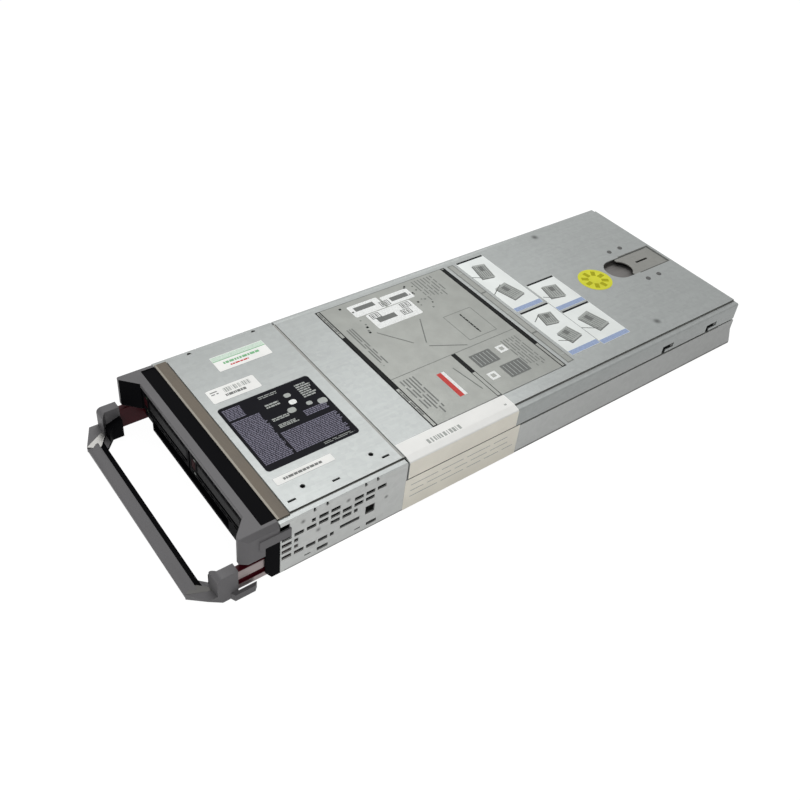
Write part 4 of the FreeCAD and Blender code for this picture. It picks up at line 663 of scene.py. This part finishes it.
def service_label():
    """Large silver sheet with ruled panels and simple block drawings."""
    area = (-0.0845, 0.141, 0.0755, 0.280)
    finishes = [SILVER_FILM, INK_BLACK, INK_GREY, INK_PALE, INK_WHITE, INK_RED]
    label = Label(area, COVER_HIGH.z, 0.0004, finishes)
    x0, y0, x1, y1 = area
    rail = 0.0046
    thin = 0.0006
    inset = 0.0004
    text_front, text_rear = y0 + 0.0014, y0 + 0.0032
    bar_front, bar_rear = 0.2055, 0.2098
    for start in (y0, y1 - rail):
        label.frame_lines((x0, start, x1, start + rail), 0.0010, INK_BLACK)
    label.mark((-0.045, y0 + inset, 0.028, y0 + rail - inset), INK_BLACK)
    label.mark((x0 + 0.002, y1 - rail + inset, 0.042, y1 - inset), INK_BLACK)
    label.dashes((-0.082, text_front, -0.049, text_rear), 1, 51, INK_GREY, across=True, fill=0.8)
    label.dashes((0.031, text_front, 0.071, text_rear), 1, 52, INK_GREY, across=True, fill=0.8)
    for side in (x0, x1 - thin):
        label.mark((side, y0 + rail, side + thin, y1 - rail), INK_GREY)
    label.mark((0.0165, y0 + rail, 0.0171, y1 - rail), INK_GREY)
    label.mark((0.0171, bar_front, 0.0425, bar_rear), INK_BLACK)
    label.frame_lines((0.0425, bar_front, x1 - thin, bar_rear), thin, INK_BLACK)
    board_drawing(label)
    module_drawing(label)
    label.dashes((-0.052, 0.1500, 0.010, 0.1570), 3, 53, INK_GREY, across=True, fill=0.5, longest=0.03)
    label.dashes((0.022, 0.149, 0.068, 0.164), 5, 54, INK_GREY, across=True, fill=0.42, longest=0.02)
    label.dashes((-0.081, 0.238, -0.050, 0.262), 7, 55, INK_GREY, across=True, fill=0.3, longest=0.016)
    label.dashes((0.024, 0.252, 0.068, 0.270), 6, 56, INK_GREY, across=True, fill=0.3, longest=0.016)
    label.frame_lines((-0.026, 0.232, 0.010, 0.262), 0.0005, INK_GREY)
    label.dashes((-0.022, 0.246, 0.006, 0.249), 1, 57, INK_BLACK, across=True, fill=0.5, longest=0.004)
    pointers = ((-0.024, 0.180, 35.0), (-0.020, 0.206, -28.0), (0.006, 0.212, 62.0), (0.046, 0.199, 8.0))
    for x, y, angle in pointers:
        label.tilted((x, y), (0.032, 0.0009), angle, INK_GREY, INK * 1.4)
    label.mark((0.030, 0.180, 0.060, 0.1845), INK_RED)
    label.mark((0.030, 0.1845, 0.060, 0.1875), INK_WHITE)
    label.done("service_label", "cover")


def board_drawing(label):
    """Loose plan of a board: white grounds with grey bars, hatched boxes and scattered dots."""
    grounds = ((-0.078, 0.168, -0.0620, 0.199), (-0.061, 0.176, -0.040, 0.222),
               (-0.076, 0.201, -0.0620, 0.230))
    bars = ((-0.0745, 0.1725, -0.0690, 0.1925), (-0.0530, 0.1815, -0.0470, 0.2000),
            (-0.0715, 0.2080, -0.0660, 0.2260))
    boxes = ((-0.0600, 0.1785), (-0.0520, 0.2055), (-0.0600, 0.2100), (-0.0705, 0.1960))
    dots = 22
    for area in grounds:
        label.patch(area, INK_WHITE, 0.0016)
    for area in bars:
        label.mark(area, INK_GREY)
    for x, y in boxes:
        label.frame_lines((x, y, x + 0.0070, y + 0.0095), 0.0008, INK_GREY)
        label.stripes((x + 0.0014, y + 0.0016, x + 0.0056, y + 0.0080), 58, INK_GREY, 0.0006, 0.0012)
    draw = random.Random(59)
    for dot in range(dots):
        x = draw.uniform(-0.080, -0.038)
        y = draw.choice((draw.uniform(0.160, 0.170), draw.uniform(0.226, 0.238)))
        wide = draw.uniform(0.0010, 0.0022)
        label.mark((x, y, x + wide, y + wide), draw.choice((INK_BLACK, INK_GREY)))


def module_drawing(label):
    """Two ribbed blocks with a white key beside each."""
    ribs = 5
    pitch = 0.0038
    for x, y in ((0.026, 0.2165), (0.048, 0.2305)):
        label.patch((x, y, x + 0.016, y + 0.0215), INK_GREY, 0.0008)
        for step in range(ribs):
            line = y + 0.0025 + pitch * step
            label.mark((x + 0.0015, line, x + 0.0145, line + 0.0007), INK_PALE, INK * 1.5)
    for x, y in ((0.0275, 0.2435), (0.0500, 0.2150)):
        label.frame_lines((x, y, x + 0.0085, y + 0.0085), 0.0022, INK_WHITE)


def step_panels():
    """Four white panels behind the large label, each with a rule and a blue band, and a ruled strip."""
    finishes = [PANEL_PAPER, INK_BLACK, INK_GREY, INK_PALE, INK_BLUE]
    front, middle, rear = 0.2935, 0.3280, 0.3615
    panels = ((-0.0840, front, 0.0010, 0.3255), (-0.0255, middle, 0.0185, rear),
              (0.0035, front, 0.0690, 0.3272), (0.0205, middle, 0.0720, rear))
    rule = 0.0022
    band = 0.0055
    first_seed = 60
    for number, (x0, y0, x1, y1) in enumerate(panels):
        label = Label((x0, y0, x1, y1), COVER_HIGH.z, 0.0006, finishes)
        label.mark((x0, y0 + 0.0005, x0 + rule, y1 - 0.0005), INK_BLACK)
        label.mark((x1 - band, y0 + 0.0003, x1 - 0.0003, y1 - 0.0003), INK_BLUE)
        field = (x0 + 0.006, y0 + 0.004, x1 - band - 0.003, y1 - 0.004)
        sketch_blocks(label, field, first_seed + number)
        label.done(f"step_panel_{number + 1}", "cover")
    strip_area = (-0.0840, 0.2835, 0.0740, 0.2905)
    strip = Label(strip_area, COVER_HIGH.z, 0.0002, [SILVER_FILM, INK_GREY, INK_PALE])
    strip.frame_lines((-0.0838, 0.2838, 0.0738, 0.2902), 0.0007, INK_GREY)
    ticks = 5
    pitch = 0.0330
    for step in range(ticks):
        x = -0.0700 + pitch * step
        strip.mark((x, 0.2845, x + 0.0016, 0.2895), INK_GREY if step % 2 else INK_PALE)
    strip.done("ruled_strip", "cover")


def sketch_blocks(label, area, seed):
    """Loose drawing of leaning plates: each with ribs, a shadow side and a thin pointer line."""
    usual_cell = 0.032
    ribs = 6
    inner_share = 0.34
    draw = random.Random(seed)
    x0, y0, x1, y1 = area
    wide, tall = x1 - x0, y1 - y0
    count = max(1, round(wide / usual_cell))
    cell = wide / count
    for step in range(count):
        centre = Vector((x0 + cell * (step + 0.46), y0 + tall * draw.uniform(0.44, 0.58)))
        angle = draw.choice((-24.0, -12.0, 14.0, 26.0))
        size = (cell * 0.62, tall * draw.uniform(0.50, 0.62))
        along = Matrix.Rotation(math.radians(angle), 2)
        label.tilted(centre + along @ Vector((0.0012, -0.0014)), size, angle, INK_GREY, INK * 0.6)
        label.tilted(centre, size, angle, INK_PALE)
        for rib in range(ribs):
            shift = Vector((0.0, size[1] * ((rib + 0.5) / ribs - 0.5)))
            label.tilted(centre + along @ shift, (size[0] * 0.8, 0.0007), angle, INK_GREY, INK * 1.6)
        side = draw.choice((-1.0, 1.0))
        tip = centre + Vector((cell * 0.2 * side, -tall * 0.36))
        label.tilted(tip, (cell * 0.5, 0.0008), 58.0 * side, INK_GREY, INK * 1.9)
        core = centre - along @ Vector((size[0] * 0.2, 0.0))
        core_size = (size[0] * inner_share, size[1] * inner_share)
        label.tilted(core, core_size, angle, INK_GREY, INK * 1.3)


def round_sticker():
    """Plain yellow disc with a ring of short bars."""
    radius = 0.0162
    sides = 64
    bars = 8
    ring = Matrix.Translation((0.0095, 0.0, 0.0))
    bar = Matrix.Diagonal((0.0068, 0.0042, 2 * INK, 1.0))
    shape = bmesh.new()
    centre = Vector((0.0, LIP + 0.3926, 0.0))
    level = COVER_HIGH.z
    thick = PAPER + SINK
    disc = Matrix.Translation((centre.x, centre.y, level - SINK + thick / 2))
    bmesh.ops.create_cone(shape, cap_ends=True, segments=sides, radius1=radius, radius2=radius,
                          depth=thick, matrix=disc)
    for step in range(bars):
        turn = Matrix.Rotation(2 * math.pi * (step + 0.25) / bars, 4, "Z")
        place = Matrix.Translation(centre + Vector((0.0, 0.0, level + PAPER))) @ turn
        add_block(shape, place @ ring @ bar, 1)
    finished("round_sticker", shape, [YELLOW_FILM, INK_OLIVE], "cover")


def folded_paper(name, points, span, finishes, body):
    """Paper strip along X and Z points, from one Y to another; steep faces get the last finish."""
    steep = 0.95
    shape = bmesh.new()
    line = [shape.verts.new((x, span[0], z)) for x, z in points]
    edges = [shape.edges.new(pair) for pair in zip(line, line[1:])]
    grown = bmesh.ops.extrude_edge_only(shape, edges=edges)
    moved = [item for item in grown["geom"] if isinstance(item, bmesh.types.BMVert)]
    bmesh.ops.translate(shape, vec=(0.0, span[1] - span[0], 0.0), verts=moved)
    shape.normal_update()
    for face in shape.faces:
        face.material_index = len(finishes) - 1 if abs(face.normal.x) > steep else 0
    made = finished(name, shape, finishes, body)
    wall = made.modifiers.new("paper", "SOLIDIFY")
    wall.thickness = PAPER
    wall.offset = 0.0


SHEET_BEND = 0.0014
WRAP_FRONT = LIP + 0.1035
WRAP_REAR = LIP + 0.2155


def bend_points(centre_z, reach, angles):
    """Points of X and Z round a bend at the near side; angles are in degrees above straight out."""
    points = []
    for angle in angles:
        turn = math.radians(angle)
        points.append((HALF - SHEET_BEND + reach * math.cos(turn), centre_z + reach * math.sin(turn)))
    return points


def wrap_label():
    """White paper over the cover's edge and down the side, cut along the seam."""
    inner = 0.0757
    ledge = HALF - 0.006
    step_down = 0.0012
    level = COVER_HIGH.z + PAPER / 2
    low_level = COVER_HIGH.z - step_down + PAPER / 2
    out = HALF + PAPER / 2
    reach = SHEET_BEND + PAPER / 2
    points = [(inner, level), (ledge, level), (HALF - SHEET_BEND, low_level)]
    points += bend_points(low_level - reach, reach, (67.5, 45.0, 22.5, 0.0))
    cover_foot, tray_top = COVER_LOW.z + 0.0002, COVER_LOW.z - 0.0008
    points.append((out, cover_foot))
    cover_span = (COVER_LOW.y + 0.0004, LIP + 0.2105)
    folded_paper("wrap_label_top", points, cover_span, [WHITE_PAPER, CREAM_PAPER], "cover")
    side_points = [(out, tray_top)]
    side_points += bend_points(SHEET_BEND, reach, (0.0, -15.0, -30.0, -45.0, -60.0))
    folded_paper("wrap_label_side", side_points, (WRAP_FRONT, WRAP_REAR), [CREAM_PAPER], "chassis")
    wrap_print(level + PAPER / 2, out + PAPER / 2)


def wrap_print(level, side):
    """Grey bars and a spot on top of the wrapped paper, and faint broken lines down its side."""
    bars_end = LIP + 0.158
    spot = LIP + 0.203
    first_line = LIP + 0.109
    last_start = LIP + 0.206
    lines_end = LIP + 0.211
    line, space = 0.0007, 0.0035
    draw = random.Random(81)
    shape = bmesh.new()
    y = LIP + 0.128
    while y < bars_end:
        wide = draw.choice((0.0007, 0.0014, 0.0022))
        add_bar(shape, (0.0830, y, level - SINK), (0.0875, y + wide, level + INK))
        y += wide + draw.choice((0.0008, 0.0014))
    add_bar(shape, (0.0843, spot, level - SINK), (0.0858, spot + 0.0022, level + INK))
    finished("wrap_print_top", shape, [INK_PALE], "cover")
    shape = bmesh.new()
    for z in (0.0125, 0.0185, 0.0245):
        start = first_line
        while start < last_start:
            reach = start + draw.uniform(0.008, 0.026)
            add_bar(shape, (side - SINK, start, z), (side + INK, min(reach, lines_end), z + line))
            start = reach + space
    finished("wrap_print_side", shape, [INK_PALE], "chassis")


# Small trim


COVER_HOLLOWS = ((0.0738, 0.3947), (-0.0822, 0.3930))
SIDE_HOLLOWS = ((0.0172, 0.0427), (0.0296, 0.0267), (0.0534, 0.0418), (0.0868, 0.0257))


def add_hollow(shape, centre, first, second, radius):
    """Thin disc with its own map, on the plane of two directions."""
    own_map = shape.loops.layers.uv.verify()
    sides = 40
    ring = []
    for step in range(sides):
        turn = 2 * math.pi * step / sides
        ring.append((math.cos(turn), math.sin(turn)))
    middle = shape.verts.new(centre)
    rim = [shape.verts.new(centre + radius * (u * first + v * second)) for u, v in ring]
    for step in range(sides):
        after = (step + 1) % sides
        face = shape.faces.new((middle, rim[step], rim[after]))
        for loop, place in zip(face.loops, ((0.0, 0.0), ring[step], ring[after])):
            loop[own_map].uv = place


def painted_hollow_shades():
    """Painted shade of shallow stamped hollows: flat discs on the cover and on the vented sides, darker in
    the middle.
    """
    across, back, up = Vector((1, 0, 0)), Vector((0, 1, 0)), Vector((0, 0, 1))
    cover_radius, side_radius = 0.0052, 0.0028
    shape = bmesh.new()
    for x, y in COVER_HOLLOWS:
        add_hollow(shape, Vector((x, LIP + y, COVER_HIGH.z + INK)), across, back, cover_radius)
    finished("cover_painted_hollow_shades", shape, [COVER_HOLLOW_SHADE], "cover")
    shape = bmesh.new()
    for y, z in SIDE_HOLLOWS:
        for side in (HALF + INK, -HALF - INK):
            add_hollow(shape, Vector((side, LIP + y, z)), back, up, side_radius)
    finished("side_painted_hollow_shades", shape, [SIDE_HOLLOW_SHADE], "chassis")


LEDGE_SHADE_WIDTH = 0.0011
SEAM = COVER_LOW.z - 0.0013
SEAM_REAR = COVER_HIGH.y - 0.022
BEND_SHADE_LEVEL = 0.0012
TRAY_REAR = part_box("chassis_tray")[1].y - 0.0005
# Each painted shade line above the tray's lower bend: Y from, Y to and height
BEND_SHADE_LINES = ((LIP + 0.003, WRAP_FRONT, 0.0007), (WRAP_REAR, TRAY_REAR, 0.0014))


def ledge_shade_lines(shape, side, span, level, top):
    """Painted shade: a dark strip on the edge that stands along a ledge, and a dark line at its foot; span
    is Y from and to.
    """
    start, stop = span
    add_bar(shape, (side - INK, start, level + SINK), (side + INK, stop, top))
    foot = sorted((side, side + math.copysign(LEDGE_SHADE_WIDTH, side)))
    add_bar(shape, (foot[0], start, level - SINK), (foot[1], stop, level + INK))


def painted_edge_shades():
    """Painted shade: dark strips on the plate's and cover's risers and at their feet, a dark line under the
    open seam and dark lines above the tray's lower bends, then painted grey shade in the gap behind the
    plate.
    """
    low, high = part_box("front_plate")
    margin = 0.0003
    seam_shade_line = 0.0007
    top = high.z - margin
    shape = bmesh.new()
    for side in (low.x, high.x):
        ledge_shade_lines(shape, side, (low.y, high.y), low.z, top)
    add_bar(shape, (low.x, high.y - INK, low.z), (high.x, high.y + INK, top))
    for side in (HALF, -HALF):
        wide = sorted((side - SINK, side + math.copysign(INK, side)))
        add_bar(shape, (wide[0], COVER_LOW.y, SEAM - seam_shade_line), (wide[1], SEAM_REAR, SEAM - SINK))
        for start, stop, line in BEND_SHADE_LINES:
            add_bar(shape, (wide[0], start, BEND_SHADE_LEVEL), (wide[1], stop, BEND_SHADE_LEVEL + line))
    finished("plate_painted_edge_shades", shape, [EDGE_SHADE], "chassis")
    # Painted shade: a mid-grey strip fills the gap between plate and cover, and another lies along the
    # plate's rear edge
    shape = bmesh.new()
    add_bar(shape, (low.x, high.y + 2 * INK, low.z), (high.x, COVER_LOW.y - margin, high.z - 0.0004))
    add_bar(shape, (low.x, high.y - LEDGE_SHADE_WIDTH, high.z - SINK), (high.x, high.y - 0.0002, high.z + INK))
    finished("plate_seam_gap_shade", shape, [SEAM_GAP_SHADE], "chassis")
    shape = bmesh.new()
    for side in (high.x, -high.x):
        ledge_shade_lines(shape, side, (COVER_LOW.y, COVER_HIGH.y), low.z, top)
    finished("cover_painted_edge_shades", shape, [EDGE_SHADE], "cover")


def seam_shade_strips():
    """Painted shade: a dark strip on each inner wall of the tray, seen through the hooked slots and the
    open seam.
    """
    wall = HALF - 0.0016
    front = COVER_LOW.y + 0.002
    high = 0.0412
    shape = bmesh.new()
    for side in (wall, -wall):
        add_bar(shape, (side - INK, front, SEAM + SINK), (side + INK, SEAM_REAR, high))
    finished("seam_shade_strips", shape, [BLACK_COAT], "chassis")


def window_shade_lines():
    """Painted shade: dark lines round the latch window, along its gap."""
    low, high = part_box("cover_latch")
    line = 0.0011
    gap = 0.0004
    front = low.y + 0.006
    rear = high.y + gap
    level = COVER_HIGH.z
    shape = bmesh.new()
    for x in (low.x - gap - line, high.x + gap):
        add_bar(shape, (x, front, level - SINK), (x + line, rear + line, level + INK))
    add_bar(shape, (low.x - gap, rear, level - SINK), (high.x + gap, rear + line, level + INK))
    finished("window_shade_lines", shape, [EDGE_SHADE], "cover")


def gasket():
    """Foam strip in cloth with rounded long edges, and the steel lip in front of it."""
    low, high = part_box("gasket_strip")
    rounding, steps = 0.0009, 4
    lip_front, lip_rear = low.y - 0.0003, low.y + 0.0013
    lip_low, lip_high = high.z - 0.0004, high.z + 0.0001
    shape = bmesh.new()
    add_bar(shape, low, high)
    long_edges = []
    for edge in shape.edges:
        start, stop = (vert.co for vert in edge.verts)
        if start.y == stop.y and start.z == stop.z and start.z > (low.z + high.z) / 2:
            long_edges.append(edge)
    bmesh.ops.bevel(shape, geom=long_edges, offset=rounding, segments=steps, profile=0.5,
                    affect="EDGES", material=-1)
    made = finished("gasket_cloth_strip", shape, [CLOTH], "chassis")
    smooth_by_angle(made.data, SHARP)
    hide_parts("gasket_strip")
    shape = bmesh.new()
    add_bar(shape, (low.x, lip_front, lip_low), (high.x, lip_rear, lip_high))
    finished("gasket_lip", shape, [LIP_STEEL], "chassis")


def rail_plating():
    """Bright strips on the outer ribs of the two slide rails."""
    plating = 0.00015
    margin = 0.0005
    groove_low, groove_high = 0.0047, 0.0099
    front_gap, rear_gap = 0.0004, 0.0006
    for side in ("left", "right"):
        low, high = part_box(f"handle_rail_{side}")
        outer = high.x if side == "right" else low.x
        thick = math.copysign(plating, outer)
        wide = sorted((outer - thick / 4, outer + thick))
        shape = bmesh.new()
        for z0, z1 in ((low.z + margin, low.z + groove_low), (low.z + groove_high, high.z - margin)):
            add_bar(shape, (wide[0], low.y + front_gap, z0), (wide[1], high.y - rear_gap, z1))
        finished(f"rail_plating_{side}", shape, [RIB_PLATE], "handle")


def corner_pads():
    """Thin polished pad on each sloped corner of the handle, cut from the slope itself."""
    margin = 0.0012
    corner = Vector((0.0790, -0.2780, 0.0))
    shoulder = Vector((0.0870, -0.2625, 0.0))
    shape = merged_copy("handle")
    shape.normal_update()
    others = [face for face in shape.faces if not is_corner_slope(face)]
    bmesh.ops.delete(shape, geom=others, context="FACES")
    rim = bmesh.ops.inset_region(shape, faces=shape.faces[:], thickness=margin, use_even_offset=True)
    bmesh.ops.delete(shape, geom=rim["faces"], context="FACES")
    for side in (1.0, -1.0):
        start = Vector((side * corner.x, corner.y, 0.0))
        run = Vector((side * shoulder.x, shoulder.y, 0.0)) - start
        outward = side * Vector((run.y, -run.x, 0.0))
        everything = shape.verts[:] + shape.edges[:] + shape.faces[:]
        bmesh.ops.bisect_plane(shape, geom=everything, plane_co=start, plane_no=outward, clear_outer=True)
    bmesh.ops.translate(shape, vec=(0.0, 0.0, -SINK), verts=shape.verts)
    bmesh.ops.solidify(shape, geom=shape.faces[:], thickness=-PAPER)
    finished("corner_pads", shape, [PAD_PLATE], "handle")


def is_corner_slope(face):
    """True for the faces that slope down from the arms to the grip."""
    least, most, upward = 0.15, 0.5, 0.8
    return least < abs(face.normal.x) < most and face.normal.z > upward


def link_contacts():
    """Gold blades in the slots of the rear connectors."""
    pitch = 0.0052
    half_gap = 0.0007
    half_wide, half_tall = 0.0002, 0.0006
    deep, shallow = 0.0092, 0.0022
    for side in ("left", "right"):
        low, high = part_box(f"midplane_connector_{side}")
        columns = int((high.x - low.x) // pitch) - 1
        rows = int((high.z - low.z) // pitch)
        middle = (low + high) / 2
        shape = bmesh.new()
        for row in range(rows):
            z = middle.z + (row - (rows - 1) / 2) * pitch
            for column in range(columns):
                x = middle.x + (column - (columns - 1) / 2) * pitch
                for shift in (-half_gap, half_gap):
                    add_bar(shape, (x + shift - half_wide, high.y - deep, z - half_tall),
                            (x + shift + half_wide, high.y - shallow, z + half_tall))
        finished(f"link_contacts_{side}", shape, [GOLD], "chassis")


def lamps():
    """Two status lenses on each drive carrier."""
    margin = 0.0075
    pitch = 0.0128
    half_wide, half_tall = 0.0014, 0.0006
    proud, sunk = 0.0002, 0.0006
    for side in ("left", "right"):
        low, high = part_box(f"drive_carrier_{side}")
        x = low.x + margin
        shape = bmesh.new()
        for step in (-0.5, 0.5):
            z = (low.z + high.z) / 2 + step * pitch
            add_bar(shape, (x - half_wide, low.y - proud, z - half_tall),
                    (x + half_wide, low.y + sunk, z + half_tall))
        finished(f"status_lenses_{side}", shape, [LENS], f"carrier_{side}")


def drive_labels():
    """Paper label with stripes and small print on each hard drive's lid."""
    side_margin, front_margin, rear_margin = 0.012, 0.020, 0.016
    inset = 0.004
    for side in ("left", "right"):
        low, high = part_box(f"hard_drive_{side}")
        x0 = low.x + side_margin
        y0 = low.y - LIP + front_margin
        x1 = high.x - side_margin
        y1 = high.y - LIP - rear_margin
        label = Label((x0, y0, x1, y1), high.z, 0.0015, [WHITE_PAPER, INK_GREY, INK_PALE])
        label.dashes((x0 + 0.003, y0 + inset, x0 + 0.020, y1 - inset), 6, 71, INK_GREY, fill=0.45)
        label.stripes((x0 + 0.024, y0 + 0.006, x0 + 0.031, y1 - 0.012), 72, INK_GREY)
        label.dashes((x0 + 0.034, y0 + inset, x1 - 0.003, y1 - inset), 3, 73, INK_PALE, fill=0.4)
        label.done(f"drive_label_{side}", f"carrier_{side}")


SOFT_EDGES = {
    "chassis_tray": 0.00012,
    "front_plate": 0.00025,
    "top_cover": 0.00016,
    "cover_latch": 0.0002,
    "latch_rivets": 0.0002,
    "cover_studs": 0.0003,
    "front_frame": 0.0003,
    "bezel": 0.0005,
    "handle": 0.0007,
    "handle_insert": 0.0004,
    "handle_rail_left": 0.0003,
    "handle_rail_right": 0.0003,
    "power_button": 0.0004,
}
for hand in ("left", "right"):
    SOFT_EDGES[f"drive_carrier_{hand}"] = 0.00025
    SOFT_EDGES[f"drive_lever_{hand}"] = 0.0004
    SOFT_EDGES[f"drive_button_{hand}"] = 0.0004
    SOFT_EDGES[f"hard_drive_{hand}"] = 0.0005
LEVEL = 0.9
FLANGE_Z = 0.04
RAMP_X = 0.07
RAMP_Z = 0.01


def is_inner_cheek(face):
    """True for the steep faces of the bezel that look towards the middle."""
    steep, sideways = 0.5, 0.3
    inward = face.normal.x * face.center.x < 0.0
    return inward and abs(face.normal.x) > sideways and abs(face.normal.z) < steep


def is_tray_top(face):
    """True for the level flanges at the top of the tray's vented front; they keep the cover's zinc colour,
    while the rest of the tray has a paler copy with painted light.
    """
    return face.normal.z > LEVEL and face.center.z > FLANGE_Z


def is_ramp_top(face):
    """True for the two low top faces at the liner's ends."""
    return face.normal.z > LEVEL and abs(face.center.x) > RAMP_X and face.center.z < RAMP_Z


def sloped_lugs(shape):
    """Slopes the tops of the liner's lugs down to the front, so they stay behind the handle's caps."""
    least_drop, slope_drop = 0.0015, 0.0047
    top = max(vert.co.z for vert in shape.verts)
    lugs = [vert for vert in shape.verts if vert.co.z > top - WELD]
    front = min(vert.co.y for vert in lugs)
    rear = max(vert.co.y for vert in lugs)
    for vert in lugs:
        forward = (rear - vert.co.y) / (rear - front)
        vert.co.z = top - least_drop - slope_drop * forward


# Second finish, the faces that get it, and the change of shape before the edges are rounded
EXTRAS = {
    "bezel": (BLACK, is_inner_cheek),
    "chassis_tray": (STEEL, is_tray_top),
    "handle_insert": (GREY, is_ramp_top, sloped_lugs),
}
for node_name in frame["nodes"]:
    dress(node_name)
for node_name, edge_width in SOFT_EDGES.items():
    softened(node_name, edge_width, *EXTRAS.get(node_name, ()))

rating_label()
stripe_label()
asset_label()
strip_label()
service_label()
step_panels()
round_sticker()
wrap_label()
painted_hollow_shades()
painted_edge_shades()
seam_shade_strips()
window_shade_lines()
gasket()
rail_plating()
corner_pads()
link_contacts()
lamps()
drive_labels()


# Stage: floor, world, lights and camera


def background_rays(tree):
    """One for rays that see the background: camera, mirror and glass rays."""
    rays = add_node(tree, "LightPath").outputs
    seen = combine(tree, "MAXIMUM", rays["Is Camera Ray"], rays["Is Glossy Ray"])
    return combine(tree, "MAXIMUM", seen, rays["Is Transmission Ray"])


def build_floor():
    """Floor that looks white and still takes a faint shadow."""
    reach = 6.0
    drop = 0.0003
    glow_share = 0.88
    shape = bmesh.new()
    bmesh.ops.create_grid(shape, x_segments=1, y_segments=1, size=reach)
    bmesh.ops.translate(shape, vec=(0.0, 0.0, -drop), verts=shape.verts)
    finish = bpy.data.materials.new("white_floor")
    finish.use_nodes = True
    tree = finish.node_tree
    tree.nodes.clear()
    matte = add_node(tree, "BsdfDiffuse", {"Color": (0.9, 0.9, 0.9, 1.0)})
    glow = add_node(tree, "Emission", {"Color": (1.0, 1.0, 1.0, 1.0), "Strength": 1.1})
    share = combine(tree, "MULTIPLY", background_rays(tree), glow_share)
    mix = add_node(tree, "MixShader", {"Fac": share, 1: matte.outputs["BSDF"], 2: glow.outputs["Emission"]})
    add_node(tree, "OutputMaterial", {"Surface": mix.outputs["Shader"]})
    made = add_object("floor", mesh_from(shape, "floor"))
    made.data.materials.append(finish)


def build_world():
    """White surroundings, dimmer as a light than as a background."""
    ambient = 0.375
    world = bpy.data.worlds.new("studio")
    world.use_nodes = True
    tree = world.node_tree
    glow = tree.nodes["Background"]
    glow.inputs["Color"].default_value = (1.0, 1.0, 1.0, 1.0)
    lit = combine(tree, "MULTIPLY_ADD", background_rays(tree), 1.0 - ambient, ambient)
    feed(tree, glow.inputs["Strength"], lit)
    scene.world = world


def softbox(name, place, aim, size, power):
    """Square lamp at a place, aimed at a point."""
    lamp = bpy.data.lights.new(name, "AREA")
    lamp.shape = "RECTANGLE"
    lamp.size, lamp.size_y = size
    lamp.energy = power
    made = add_object(name, lamp)
    direction = Vector(aim) - Vector(place)
    made.rotation_euler = direction.to_track_quat("-Z", "Y").to_euler()
    made.location = place


def build_camera():
    """Camera at the photograph's viewpoint, from corners matched in its 800 pixel frame."""
    frame_pixels = 800.0
    focal_pixels = 932.99
    centre_pixels = (413.38, 350.25)
    sensor = 36.0
    view = bpy.data.cameras.new("view")
    view.sensor_width = sensor
    view.lens = focal_pixels / frame_pixels * sensor
    view.shift_x = (frame_pixels / 2 - centre_pixels[0]) / frame_pixels
    view.shift_y = (centre_pixels[1] - frame_pixels / 2) / frame_pixels
    view.clip_start = 0.01
    right = Vector((0.6054, 0.7897, 0.0991))
    down = Vector((0.5445, -0.3201, -0.7752))
    forward = Vector((-0.5805, 0.5232, -0.6238))
    turn = Matrix((right, -down, -forward)).transposed().to_4x4()
    made = add_object("view", view)
    made.matrix_world = Matrix.Translation((0.43353, -0.42684, 0.52058)) @ turn
    scene.camera = made


build_floor()
build_world()
softbox("key", (-0.37, -0.09, 0.85), (-0.03, -0.2, 0.03), (0.42, 0.42), 3.6)
softbox("sheen", (-0.483, 0.453, 0.85), (0.09, -0.1, 0.05), (0.35, 0.35), 1.65)
softbox("fill", (0.50, -0.58, 0.36), (0.07, -0.12, 0.03), (0.4, 0.4), 1.15)
build_camera()
